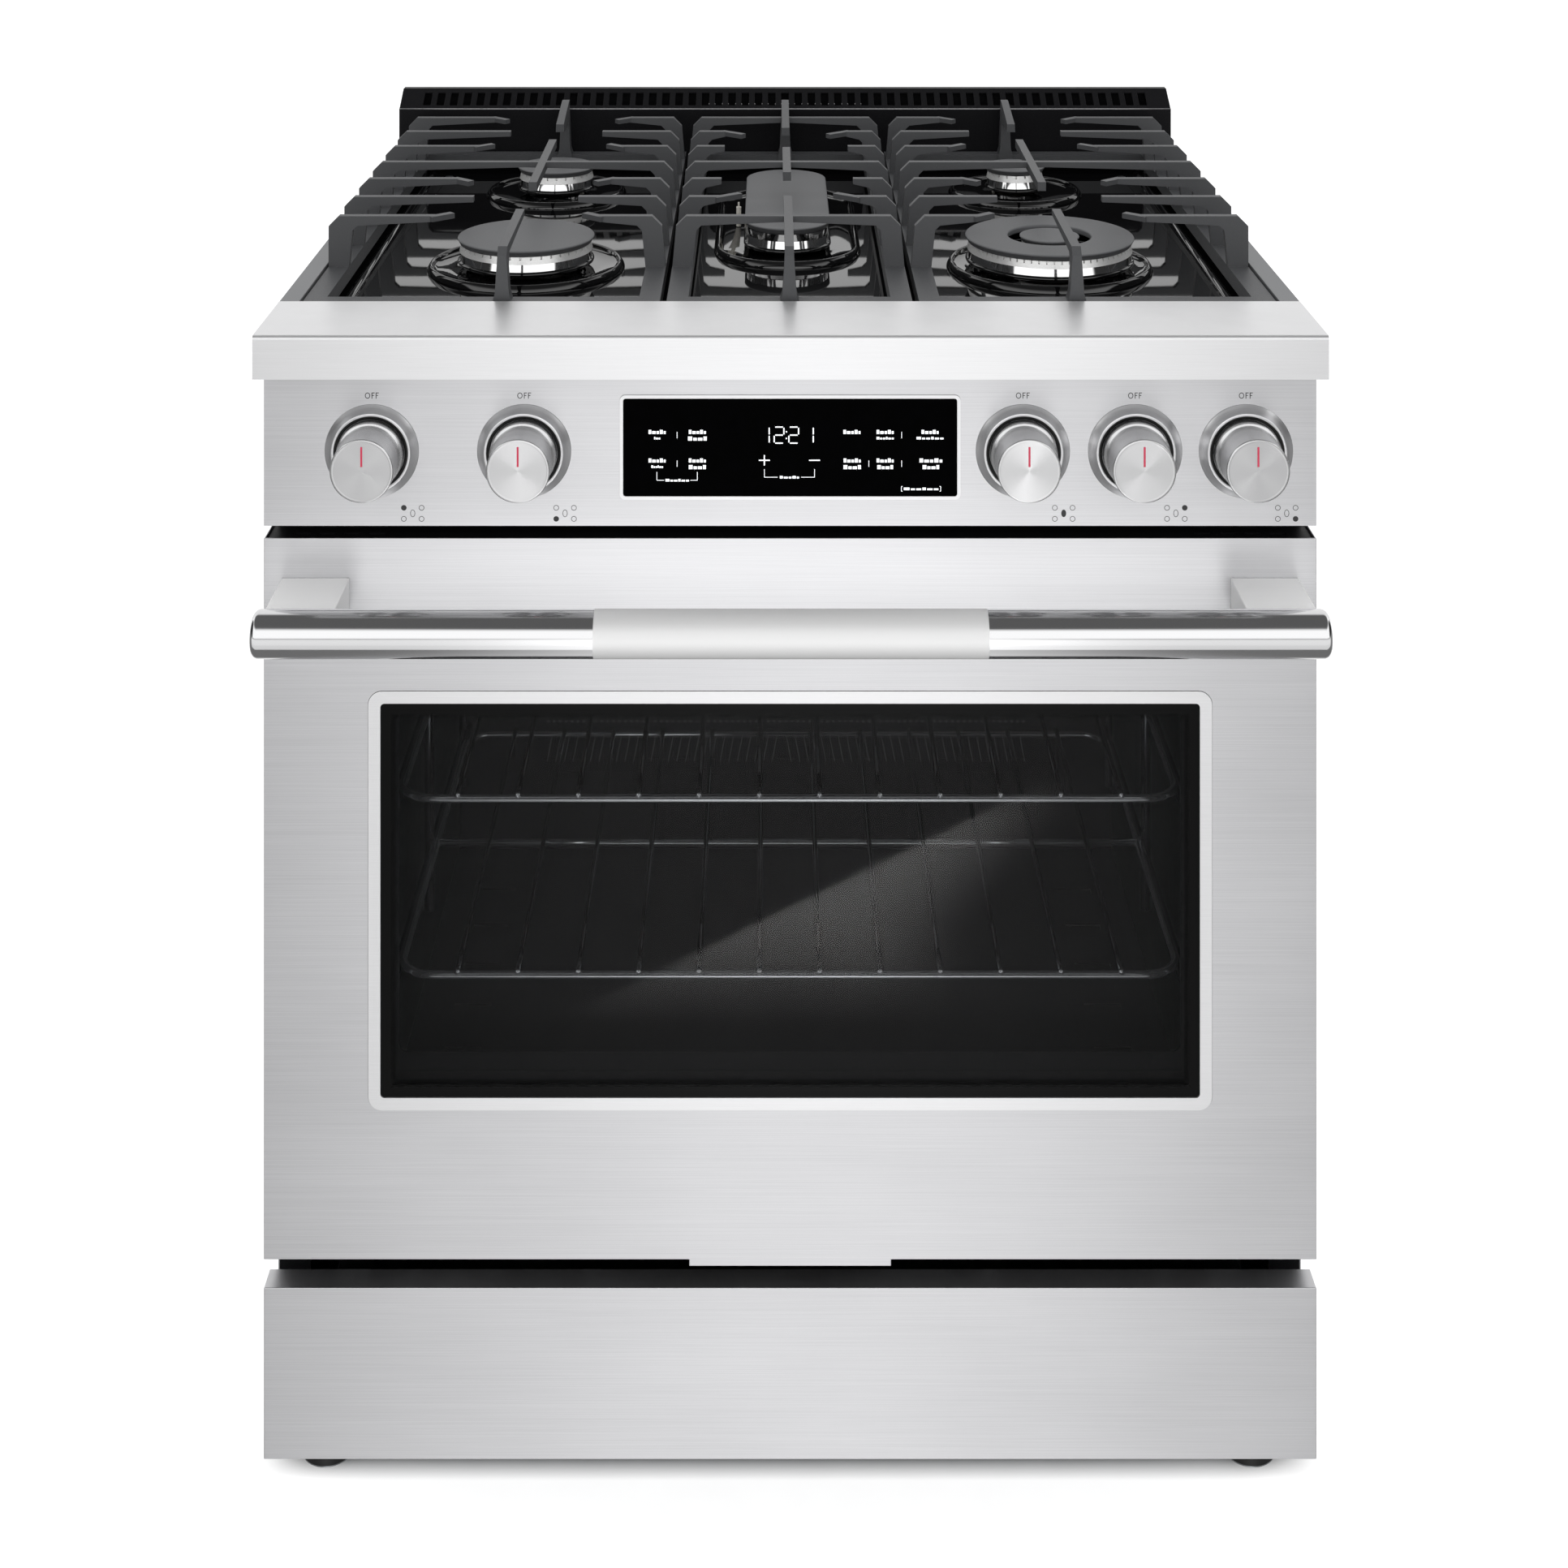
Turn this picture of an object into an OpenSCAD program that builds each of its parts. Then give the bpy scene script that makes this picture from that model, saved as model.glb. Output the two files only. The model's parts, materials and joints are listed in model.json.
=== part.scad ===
// Freestanding gas range: five burners, convection oven and a storage drawer.
// Millimetres, +Z up, front towards -Y. The origin is the middle of the footprint, on the floor.
// Inside the modules y counts from the door face, z from the floor and x from the middle.

/* [Body] */
// Width over the side panels
body_w = 760; // [720:5:900]
// Door face to the back of the vent trim
body_d = 640; // [625:5:700]
// Floor to the top of the front rail
rim_h = 914; // [895:1:940]
// Clear height under the drawer
leg_h = 92; // [75:1:105]
// Thickness of the pressed sheets
sheet_t = 1.2; // [0.8:0.1:1.6]
// Running gap between parts that slide or lift off
run_gap = 0.3; // [0.2:0.05:0.5]
// Radial clearance of pins and shafts in their bores
fit_gap = 0.05; // [0.02:0.01:0.1]

/* [Cooktop] */
// Height of the front rail
rail_h = 31; // [24:1:40]
// How far the front rail stands out past the door face
rail_reach = 37.7; // [25:0.1:50]
// Rim down to the floor of the cooktop pan
pan_drop = 21; // [16:1:24]
// Width of the side trims
trim_w = 15; // [12:1:20]
// Depth of the rear vent trim
vent_d = 36; // [30:1:45]
// Front height of the vent trim above the rim
vent_h = 38.8; // [30:0.2:50]
// Extra height at the back of the vent trim
vent_rise = 15.8; // [10:0.2:20]
// Spacing of the vent slots
vent_pitch = 13.1; // [11:0.1:18]
// Vent slot width
vent_slot_w = 7.5; // [4:0.5:9]

/* [Grates] */
// Rim up to the top of the grate fingers
grate_h = 38; // [34:1:44]
// Width of the centre grate
grate_mid_w = 184; // [170:2:200]
// Gap between neighbouring grates
grate_gap = 5; // [3:0.5:8]
// Thickness of the cast fingers
finger_t = 7; // [6:0.5:10]
// Height of the fingers at their legs
finger_h = 7.5; // [6:0.5:9]
// Height of the fingers at their tips
tip_h = 4.5; // [3.5:0.5:6]
// Width of the cast legs and base bars
leg_w = 16; // [12:1:18]
// Rise of the rear horns above the fingers
horn_rise = 11; // [6:1:16]

/* [Burners] */
// Sideways distance of the side burners from the middle
burner_x = 215; // [205:1:225]
// Front left cap diameter
cap_fl_d = 112; // [100:2:120]
// Rear left cap diameter
cap_rl_d = 72; // [66:2:90]
// Rear right cap diameter
cap_rr_d = 56; // [50:2:80]
// Front right ring cap diameter
cap_fr_d = 138; // [130:2:144]
// Hole in the front right ring cap
cap_fr_hole = 68; // [64:2:74]
// Inner cap of the front right burner
cap_in_d = 49; // [44:1:54]
// Oblong cap width
oblong_w = 72; // [60:2:80]
// Oblong cap length
oblong_l = 232; // [200:2:240]
// Cap thickness
cap_t = 5; // [4:0.5:8]
// Height of the slotted burner heads
head_h = 16; // [12:0.5:17]
// Spacing of the flame ports
port_pitch = 10; // [8:0.5:14]
// Spacing of the flame ports of the ring burner
port_pitch_ring = 6; // [5.5:0.5:10]

/* [Controls] */
// Height of the control panel
panel_h = 117; // [112:1:124]
// Rail down to the knob centres
knob_drop = 63; // [60:1:66]
// Knob skirt diameter
knob_d = 48; // [42:1:50]
// Knob grip diameter
grip_d = 45; // [38:1:48]
// How far a knob stands out of the panel
knob_reach = 43; // [36:1:50]
// Knob bezel outer diameter
bezel_d = 68; // [60:1:70]
// Stem diameter
stem_d = 8; // [7:0.5:9]
// Push travel of a knob
knob_push = 3; // [2:0.5:3.5]
// Display glass width
glass_w = 241; // [220:1:260]
// Display glass height
glass_h = 70.4; // [60:0.2:80]

/* [Door] */
// Gap between the control panel and the door
top_gap = 9; // [6:1:12]
// Door thickness
door_t = 46; // [44:1:52]
// Gasket thickness
gasket_t = 2.4; // [2:0.1:3]
// Height of the gap under the door
low_gap = 20.5; // [18:0.5:24]
// Door side to the window glass
window_side = 84.4; // [80:0.2:100]
// Window glass height
window_h = 284.2; // [260:2:300]
// Door bottom to the lower edge of the window glass
window_rise = 117.2; // [110:1:125]
// Width of the frame round the window
window_rim = 9; // [6:0.5:12]
// Glass thickness
glass_t = 4; // [3:0.5:5]
// Handle bar diameter
bar_d = 32.6; // [26:0.2:34]
// Door face to the centre of the handle bar
bar_reach = 66; // [56:1:75]
// Door top down to the centre of the handle bar
bar_drop = 41.5; // [36:0.5:50]
// Hinge pin diameter
pin_d = 8; // [6:0.5:9]

/* [Oven] */
// Wall from the body side to the oven cavity
cavity_side = 75; // [70:1:90]
// Depth of the oven cavity
cavity_d = 439; // [400:1:445]
// Thickness of the insulation
wrap_t = 25; // [15:1:28]
// Height of the oven floor over the liner floor
floor_rise = 28; // [24:1:34]
// Lower rack over the cavity bottom
rack_rise = 149.5; // [120:1:160]
// Rack spacing
rack_pitch = 132.5; // [100:1:150]
// Rack wire diameter
wire_d = 6; // [4:0.5:7]
// Fan wheel diameter
fan_d = 150; // [120:2:170]

/* [Drawer] */
// Height of the drawer front
drawer_h = 123.7; // [115:1:130]
// Depth of the drawer front
drawer_t = 20; // [14:1:26]
// Depth of the drawer box
tub_d = 500; // [440:5:520]
// Thickness of a slide member
slide_t = 18; // [12:1:22]

/* [Hidden] */
$fn = 48;
eps = 0.01;
cut = 1;

// Levels, from the top down
pan_z = rim_h - pan_drop;
pan_low = pan_z - sheet_t;
rail_low = rim_h - rail_h;
panel_low = rail_low - panel_h;
door_top = panel_low - top_gap;
drawer_top = leg_h + drawer_h;
door_low = drawer_top + low_gap;
knob_z = rail_low - knob_drop;
grate_top = rim_h + grate_h;
half_w = body_w / 2;
inner_w = half_w - sheet_t;

// Depths, from the door face back
handle_front = bar_reach + bar_d / 2;
face_y = -(body_d + handle_front) / 2 + handle_front;
seal_gap = 0.6;
frame_y = door_t + seal_gap + gasket_t;
frame_t = 2;
frame_back = frame_y + frame_t;
rail_back = frame_back + 1;
vent_y = body_d - vent_d;
side_back = body_d - 4;

// Oven
cavity_w = body_w - 2 * cavity_side;
cavity_low = door_low + 18.8;
cavity_top = door_top - 57;
cavity_back = frame_back + cavity_d;
cavity_mid = (cavity_low + cavity_top) / 2;
floor_top = cavity_low + floor_rise;
lower_rack_z = cavity_low + rack_rise;
upper_rack_z = lower_rack_z + rack_pitch;
mouth_lip = 18;
cover_half = cavity_w / 2 - 55;
cover_low = cavity_low + 110;
cover_top = cavity_top - 85;
cover_y = cavity_back - 22;
cover_slot = 6;
fan_z = (cover_low + cover_top) / 2 + 5;
fan_bore = 14;
motor_half = 60;
motor_r = 38;
motor_l = 42;
motor_post_r = 48;
motor_post_d = 8;
broil_half = cavity_w / 2 - 155;
broil_h = 16;
broil_wall = 4;
broil_inset = 90;

// Door
hinge_y = 20;
hinge_z = door_low + 12;
hinge_x = half_w - 40;
lug_t = 7.4;
ear_t = 4;
ear_gap = 0.6;
lug_r = pin_d / 2 + 4;
ear_r = pin_d / 2 + 6;
window_w = body_w - 2 * window_side;
window_low = door_low + window_rise;
window_mid = window_low + window_h / 2;
trim_out_w = window_w + 2 * window_rim;
trim_out_h = window_h + 2 * window_rim;
bar_z = door_top - bar_drop;
bar_l = body_w - 14;
post_h = 26;
post_w = 49;
post_x = half_w - 37.5;
liner_low = hinge_z - 4;

// Grates: seven finger rows, each burner under one of them
grate_front = rail_back + 6;
grate_back = vent_y - 4;
row_first = 105;
row_last = 33;
row_pitch = (grate_back - grate_front - row_first - row_last) / 6;
grate_foot = pan_z + run_gap;
base_top = pan_z + 19;
base_low = base_top - 12;
chamfer = 8;
leg_lean = 3;
inner_corner = 4;
short_reach = 43;
long_reach = 65;
hook_root = 5;
hook_l = 16;
hook_turn = 40;
mid_hook_l = 21;
mid_hook_turn = 38;
mid_short = 36;
cast_step = 0.2;
post_foot = 7;
post_taper = 1.8;
post_flare = 6;
mid_half = grate_mid_w / 2;
side_in = mid_half + grate_gap;
side_out = half_w - trim_w - 1;
horn_back = grate_back - 1;

// Burners, each as [x, y, cap radius, ring radius]
front_y = row_y(1);
centre_y = row_y(3);
rear_y = row_y(5);
ring_over = 25;
ring_small = 29.5;
ring_over_fr = 15.5;
burners = [
    [-burner_x, rear_y, cap_rl_d / 2, cap_rl_d / 2 + ring_small],
    [-burner_x, front_y, cap_fl_d / 2, cap_fl_d / 2 + ring_over],
    [burner_x, rear_y, cap_rr_d / 2, cap_rr_d / 2 + ring_small + 5],
    [burner_x, front_y, cap_fr_d / 2, cap_fr_d / 2 + ring_over_fr]
];
holder_r = 18;
holder_low = pan_low - 30;
bowl_h = 6;
head_low = pan_z + bowl_h;
cap_low = head_low + head_h;
head_in = 3;
oblong_rim = 26;
electrode_r = 2.2;

// Controls
knob_x = [-302, -192, 168, 249, 329];
knob_gap = knob_push + 1;
stem_front = -knob_reach + 13;
valve_front = 10;
valve_back = 46;
valve_w = 26;
manifold_w = 20;
manifold_z = knob_z - valve_w / 2;
port_z = knob_z + 4;
tube_r = 3;
bezel_t = 6;
display_z = knob_z + 2.8;
display_rim = 2.5;
housing_back = 24;
supply_x = half_w - 25;
supply_r = 8;
supply_y = body_d - 50;
inlet_z = leg_h + 58;
inlet_x = supply_x - 25;
inlet_r = 10.65;
elbow_r = 10;
recess_d = 32;
regulator_r = side_back - recess_d - supply_y - 1;
recess_half = half_w - 15;
recess_top = leg_h + 230;

// Drawer and base
rail_t = 3;
rail_w = 48;
tub_low = leg_h + 12;
tub_top = drawer_top - 15.7;
tub_half = half_w - 45;
slide_z = leg_h + 28;
slide_h = 40;
runner_h = 18;
foot_d = 41;
foot_h = 8;
stud_d = 10;
sleeve_d = 28;
foot_x = half_w - 22;
foot_y = [131, body_d - 50];

function row_y(i) = grate_front + row_first + row_pitch * i;

module at_face() {
    translate([0, face_y, 0]) children();
}

module both_sides() {
    children();
    mirror([1, 0, 0]) children();
}

// Box from its two corners
module span(a, b) {
    translate(a) cube(b - a);
}

// Round bar from y0 to y1
module bar_y(r, x, y0, y1, z) {
    translate([x, y0, z]) rotate([-90, 0, 0]) cylinder(r = r, h = y1 - y0);
}

// Round bar from x0 to x1
module bar_x(r, x0, x1, y, z) {
    translate([x0, y, z]) rotate([0, 90, 0]) cylinder(r = r, h = x1 - x0);
}

// Upright round bar from z0 to z1
module bar_z(r, x, y, z0, z1) {
    translate([x, y, z0]) cylinder(r = r, h = z1 - z0);
}

// Flat rectangle with round corners
module round_rect(w, h, r) {
    square([w - 2 * r, h], center = true);
    square([w, h - 2 * r], center = true);
    for (x = [-1, 1], y = [-1, 1]) translate([x * (w / 2 - r), y * (h / 2 - r)]) circle(r = r);
}

// Upright plate with round corners, facing -Y
module round_plate(w, h, r, y0, y1, z) {
    translate([0, y1, z]) rotate([90, 0, 0]) linear_extrude(y1 - y0) round_rect(w, h, r);
}

// Flat bar with half-round ends along Y
module stadium(w, l) {
    square([w, l - w], center = true);
    for (y = [-1, 1]) translate([0, y * (l - w) / 2]) circle(d = w);
}

// ---- Casing ----

module side_shape() {
    difference() {
        union() {
            span([inner_w, frame_y, leg_h], [half_w, side_back, pan_low]);
            span([inner_w - 12, side_back - sheet_t, leg_h], [half_w, side_back, pan_low]);
            span([inner_w - 12, frame_back + cut, pan_low - sheet_t], [half_w, side_back, pan_low]);
        }
        span([inner_w - cut, frame_y - cut, rail_low], [half_w + cut, rail_back, pan_low + cut]);
        rear_screw_holes();
    }
}

module left_side_panel() {
    color("gainsboro") at_face() mirror([1, 0, 0]) side_shape();
}

module right_side_panel() {
    color("gainsboro") at_face() side_shape();
}

rear_screw_r = 2;
rear_screw_z = [leg_h + 60, leg_h + 270, leg_h + 480, pan_low - 60];

module rear_screw_holes() {
    for (z = rear_screw_z) {
        bar_y(rear_screw_r + fit_gap, inner_w - 6, side_back - 10, side_back + 10, z);
    }
}

module rear_panel() {
    recess_y = side_back - recess_d;
    color("lightgray") at_face() difference() {
        union() {
            span([-half_w, side_back, leg_h], [half_w, side_back + sheet_t, pan_low]);
            span([-recess_half, recess_y, leg_h], [recess_half, side_back + sheet_t, recess_top]);
        }
        span([-recess_half + sheet_t, recess_y + sheet_t, leg_h - cut],
             [recess_half - sheet_t, body_d, recess_top - sheet_t]);
        bar_y(supply_r + 1, inlet_x, recess_y - cut, body_d, inlet_z);
        both_sides() rear_screw_holes();
        for (x = [-120 : 24 : 120], z = [0, 1]) {
            translate([x, side_back - cut, rim_h - 110 - 40 * z]) cube([12, 4, 24]);
        }
    }
}

module base_frame() {
    low = leg_h + sheet_t;
    color("dimgray") at_face() difference() {
        union() {
            both_sides() span([inner_w - rail_w, frame_back, low], [inner_w, side_back - 40, low + rail_t]);
            both_sides() span([inner_w - rail_t, frame_back, low], [inner_w, side_back - 40, low + 22]);
            span([-inner_w, frame_back, low], [inner_w, frame_back + 20, low + rail_t]);
            span([-inner_w, side_back - 60, low], [inner_w, side_back - 40, low + rail_t]);
        }
        both_sides() for (y = foot_y) bar_z(stud_d / 2 + fit_gap, foot_x, y, 0, low + 60);
    }
}

module leveling_legs() {
    low = leg_h + sheet_t;
    color("silver") at_face() both_sides() for (y = foot_y) {
        bar_z(foot_d / 2, foot_x, y, 0, foot_h);
        bar_z(stud_d / 2, foot_x, y, low - eps, low + rail_t + 12);
        bar_z(sleeve_d / 2, foot_x, y, foot_h - eps, low);
        translate([foot_x, y, low + rail_t]) cylinder(d = stud_d + 8, h = 6, $fn = 6);
    }
}

module front_frame() {
    color("dimgray") at_face() difference() {
        span([-inner_w, frame_y, leg_h + sheet_t], [inner_w, frame_back, rail_low]);
        span([-cavity_w / 2, frame_y - cut, cavity_low], [cavity_w / 2, frame_back + cut, cavity_top]);
        span([-tub_half - slide_t - 3, frame_y - cut, leg_h + sheet_t + 5],
             [tub_half + slide_t + 3, frame_back + cut, tub_top + 6]);
        for (x = knob_x) bar_y(tube_r + 0.5, x, frame_y - cut, frame_back + cut, port_z);
        bar_y(supply_r + 0.5, supply_x, frame_y - cut, frame_back + cut, manifold_z - manifold_w / 2);
        for (x = [-300 : 40 : 300]) {
            span([x, frame_y - cut, cavity_top + 28], [x + 24, frame_back + cut, cavity_top + 34]);
        }
    }
}

// ---- Oven ----

module oven_liner() {
    wall = sheet_t;
    color("darkslategray") at_face() difference() {
        union() {
            span([-cavity_w / 2 - wall, frame_back, cavity_low - wall],
                 [cavity_w / 2 + wall, cavity_back + wall, cavity_top + wall]);
            span([-cavity_w / 2 - mouth_lip, frame_back, cavity_low - mouth_lip],
                 [cavity_w / 2 + mouth_lip, frame_back + wall, cavity_top + mouth_lip]);
        }
        span([-cavity_w / 2, frame_back - cut, cavity_low], [cavity_w / 2, cavity_back, cavity_top]);
        bar_y(fan_bore / 2, 0, cavity_back - cut, cavity_back + wall + cut, fan_z);
    }
}

module oven_floor() {
    half = cavity_w / 2 - run_gap;
    color("slategray") at_face() difference() {
        union() {
            span([-half, frame_back + 2, floor_top - sheet_t], [half, cavity_back - run_gap, floor_top]);
            both_sides() span([half - sheet_t, frame_back + 2, cavity_low],
                              [half, cavity_back - run_gap, floor_top]);
        }
        both_sides() for (y = [0 : 5]) {
            translate([half - 60, frame_back + 60 + y * 60, floor_top - 3]) cube([30, 8, 6]);
        }
    }
}

module insulation_wrap() {
    wall = sheet_t;
    color("khaki") at_face() difference() {
        span([-cavity_w / 2 - wall - wrap_t, frame_back + wall, cavity_low - wall - wrap_t + 6],
             [cavity_w / 2 + wall + wrap_t, cavity_back + wall + wrap_t, cavity_top + wall + wrap_t]);
        span([-cavity_w / 2 - wall, frame_back, cavity_low - wall],
             [cavity_w / 2 + wall, cavity_back + wall, cavity_top + wall]);
        bar_y(fan_bore / 2, 0, cavity_back, cavity_back + wrap_t + 10, fan_z);
        motor_posts(motor_post_d / 2 + 0.5, cavity_back, cavity_back + wrap_t + 10);
    }
}

module motor_posts(r, y0, y1) {
    for (x = [-1, 1], z = [-1, 1]) bar_y(r, x * motor_post_r, y0, y1, fan_z + z * motor_post_r);
}

module bake_burner() {
    z = cavity_low + 13;
    color("silver") at_face() {
        bar_y(8, 0, frame_back + 60, cavity_back, z);
        for (y = [frame_back + 90, cavity_back - 60]) {
            span([-12, y, cavity_low], [12, y + 10, z]);
        }
        both_sides() bar_y(8, 90, frame_back + 60, cavity_back - 100, z);
        bar_x(8, -90, 90, frame_back + 60, z);
        sphere_at([-90, frame_back + 60, z], 8);
        sphere_at([90, frame_back + 60, z], 8);
    }
}

module sphere_at(p, r) {
    translate(p) sphere(r = r);
}

module broil_burner() {
    y0 = frame_back + broil_inset;
    y1 = cavity_back - broil_inset;
    inner = broil_half - broil_wall;
    low = cavity_top - broil_h;
    color("gray") at_face() difference() {
        union() {
            span([-broil_half, y0, low], [broil_half, y1, cavity_top]);
            bar_y(broil_h / 2, 0, y1 - cut, cavity_back, cavity_top - 10);
        }
        span([-inner, y0 + broil_wall, low - cut], [inner, y1 - broil_wall, low + 4]);
        span([-inner, y0 + broil_wall, low + 6], [inner, y1 - broil_wall, cavity_top - sheet_t]);
        for (k = [-5 : 5]) {
            span([k * 24 - 2, y0 + 20, low], [k * 24 + 2, y1 - 20, low + 8]);
        }
    }
}

module fan_cover() {
    inner = cover_half - sheet_t;
    face = cover_y + sheet_t;
    low = cover_low + 12;
    color("slategray") at_face() difference() {
        span([-cover_half, cover_y, cover_low], [cover_half, cavity_back, cover_top]);
        span([-inner, face, cover_low + sheet_t], [inner, cavity_back + cut, cover_top - sheet_t]);
        for (k = [-5 : 5]) {
            z = fan_z + k * 2 * cover_slot - cover_slot / 2;
            span([-fan_d / 2, cover_y - cut, z], [fan_d / 2, face + cut, z + cover_slot]);
        }
        for (k = [-9 : 9]) {
            span([k * 24 - 8, cover_y - cut, low], [k * 24 + 8, face + cut, low + cover_slot]);
        }
    }
}

module convection_fan() {
    y0 = cover_y + 6;
    blades = 12;
    color("silver") at_face() {
        bar_y(stem_d / 2, 0, y0 - 2, cavity_back + wrap_t + 30, fan_z);
        bar_y(fan_d / 2, 0, y0 + 9, y0 + 10, fan_z);
        translate([0, y0, fan_z]) for (k = [0 : blades - 1]) rotate([0, k * 360 / blades, 0]) {
            translate([fan_d / 2 - 32, 0, -1]) cube([30, 9.5, 2]);
        }
        bar_y(12, 0, y0 - 2, y0 + 10, fan_z);
    }
}

module fan_motor() {
    plate_y = cavity_back + sheet_t + wrap_t;
    color("dimgray") at_face() difference() {
        union() {
            span([-motor_half, plate_y, fan_z - motor_half], [motor_half, plate_y + 2, fan_z + motor_half]);
            motor_posts(motor_post_d / 2, cavity_back + sheet_t, plate_y + 1);
            bar_y(motor_r, 0, plate_y, plate_y + motor_l, fan_z);
        }
        bar_y(stem_d / 2 + fit_gap, 0, plate_y - cut, plate_y + 34, fan_z);
    }
}

// Rack side wires rest on a ladder of guide wires at each side
guide_x = cavity_w / 2 - 8;
rack_x = cavity_w / 2 - 12;
guide_r = 4;
rack_front = frame_back + 15;
rack_end = cavity_back - 32;
guide_drop = sqrt(pow(guide_r + wire_d / 2 + run_gap, 2) - pow(guide_x - rack_x, 2));

module rack_guides() {
    color("silver") at_face() both_sides() {
        for (z = [lower_rack_z, upper_rack_z]) {
            bar_y(guide_r, guide_x, frame_back + 12, cavity_back, z - guide_drop);
        }
        for (y = [frame_back + 14, (frame_back + cavity_back) / 2, cavity_back - guide_r - run_gap]) {
            bar_z(guide_r, cavity_w / 2 - guide_r - run_gap, y, lower_rack_z - 60, upper_rack_z + 60);
        }
    }
}

// Eight-sided wires: a frame, a middle bar and the long wires laid on top
module oven_rack(z) {
    r = wire_d / 2;
    long_n = 12;
    long_pitch = (rack_x - 12) * 2 / (long_n + 1);
    $fn = 8;
    color("silver") at_face() {
        both_sides() bar_y(r, rack_x, rack_front - r, rack_end + r, z);
        for (y = [rack_front, (rack_front + rack_end) / 2, rack_end]) {
            bar_x(r, -rack_x, rack_x, y, z);
        }
        for (k = [0 : long_n - 1]) {
            bar_y(r * 0.7, (k - (long_n - 1) / 2) * long_pitch, rack_front - r, rack_end + r, z + r);
        }
    }
}

module upper_rack() {
    oven_rack(upper_rack_z);
}

module lower_rack() {
    oven_rack(lower_rack_z);
}

// ---- Cooktop ----

pan_screw_x = half_w - 55;
pan_screw_y = [rail_back + 30, vent_y - 40];
rib_x = side_out - 21;
rib_r = 4.5;
rib_h = 3;
rib_ends = [grate_front + 16, grate_back - 16];

// Low rounded bead pressed up along each side of the pan
module pan_rib() {
    intersection() {
        bar_y(rib_r, rib_x, rib_ends[0], rib_ends[1], pan_z + rib_h - rib_r);
        span([rib_x - rib_r, rib_ends[0] - cut, pan_z - eps],
             [rib_x + rib_r, rib_ends[1] + cut, pan_z + rib_h + cut]);
    }
}

module cooktop_pan() {
    color("black") at_face() difference() {
        union() {
            span([-half_w, rail_back, pan_low], [half_w, side_back + sheet_t, pan_z]);
            both_sides() pan_rib();
        }
        for (b = burners) bar_z(holder_r + run_gap, b[0], b[1], pan_low - cut, pan_z + cut);
        bar_z(holder_r + run_gap, 0, centre_y, pan_low - cut, pan_z + cut);
        both_sides() for (y = pan_screw_y) {
            bar_z(rear_screw_r + fit_gap, pan_screw_x, y, pan_low - cut, pan_z + cut);
        }
    }
}

module front_rail() {
    wall = 1.5;
    r = 3;
    color("gainsboro") at_face() difference() {
        span([-half_w, -rail_reach, rail_low], [half_w, rail_back, rim_h]);
        span([-half_w + wall, -rail_reach + wall, rail_low + wall],
             [half_w - wall, rail_back - wall, rim_h - wall]);
        translate([-half_w - cut, -rail_reach + r, rim_h - r]) rotate([90, 0, 90])
            linear_extrude(body_w + 2 * cut) difference() {
                translate([-r - cut, 0]) square([r + cut, r + cut]);
                circle(r = r);
            }
    }
}

module cooktop_trims() {
    color("gainsboro") at_face() both_sides() difference() {
        span([half_w - trim_w, rail_back, pan_z], [half_w, vent_y, rim_h]);
        span([half_w - trim_w + sheet_t, rail_back + sheet_t, pan_z - cut],
             [half_w - sheet_t, vent_y - sheet_t, rim_h - sheet_t]);
    }
}

vent_low = rim_h + vent_h;
vent_top = vent_low + vent_rise;
vent_ledge = 9.4;
vent_wall = 1.5;

module vent_profile(grow) {
    polygon([
        [vent_y + grow, pan_z - (grow > 0 ? cut : 0)],
        [body_d - grow, pan_z - (grow > 0 ? cut : 0)],
        [body_d - grow, vent_top - grow * 1.3],
        [body_d - vent_ledge, vent_top - grow * 1.3],
        [vent_y + grow, vent_low - grow * 0.7]
    ]);
}

module vent_trim() {
    slope = atan2(vent_rise, vent_d - vent_ledge);
    slots = floor((body_w - 30) / vent_pitch);
    color("dimgray") at_face() difference() {
        translate([-half_w, 0, 0]) rotate([90, 0, 90]) linear_extrude(body_w) vent_profile(0);
        translate([-half_w + vent_wall, 0, 0]) rotate([90, 0, 90])
            linear_extrude(body_w - 2 * vent_wall) vent_profile(vent_wall);
        translate([0, vent_y, vent_low]) rotate([slope, 0, 0]) for (k = [0 : slots - 1]) {
            translate([(k - (slots - 1) / 2) * vent_pitch - vent_slot_w / 2, 6, -6])
                cube([vent_slot_w, vent_d - vent_ledge - 8, 12]);
        }
    }
}

// ---- Burners ----

module bowl_profile(inner, outer) {
    polygon([
        [inner, pan_z], [outer, pan_z], [outer, pan_z + 4], [outer - 2, head_low], [outer - 5, head_low],
        [outer - 8, pan_z + 2], [inner + 8, pan_z + 2], [inner + 5, head_low], [inner, head_low]
    ]);
}

module burner_bases() {
    color("black") at_face() {
        for (b = burners) translate([b[0], b[1], 0]) {
            head_r = b[2] - head_in;
            rotate_extrude() bowl_profile(head_r - 6, b[3]);
            translate([0, 0, holder_low]) cylinder(r = holder_r, h = head_low - 2 - holder_low);
            translate([0, 0, pan_z]) cylinder(r = head_r - 5, h = 2);
        }
        translate([0, centre_y, 0]) {
            w = oblong_w + 2 * oblong_rim;
            l = oblong_l + 2 * oblong_rim;
            translate([0, 0, pan_z]) linear_extrude(2) stadium(w, l);
            translate([0, 0, pan_z]) linear_extrude(bowl_h) difference() {
                stadium(w, l);
                stadium(w - 12, l - 12);
            }
            translate([0, 0, pan_z]) linear_extrude(bowl_h) stadium(oblong_w - 4, oblong_l - 4);
            translate([0, 0, holder_low]) cylinder(r = holder_r, h = head_low - 2 - holder_low);
        }
    }
}

module port_cuts(r, pitch) {
    n = floor(2 * PI * r / pitch);
    for (k = [0 : n - 1]) rotate([0, 0, k * 360 / n]) {
        translate([r - 3, -1, head_h - 5]) cube([6, 2, 6]);
    }
}

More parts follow.
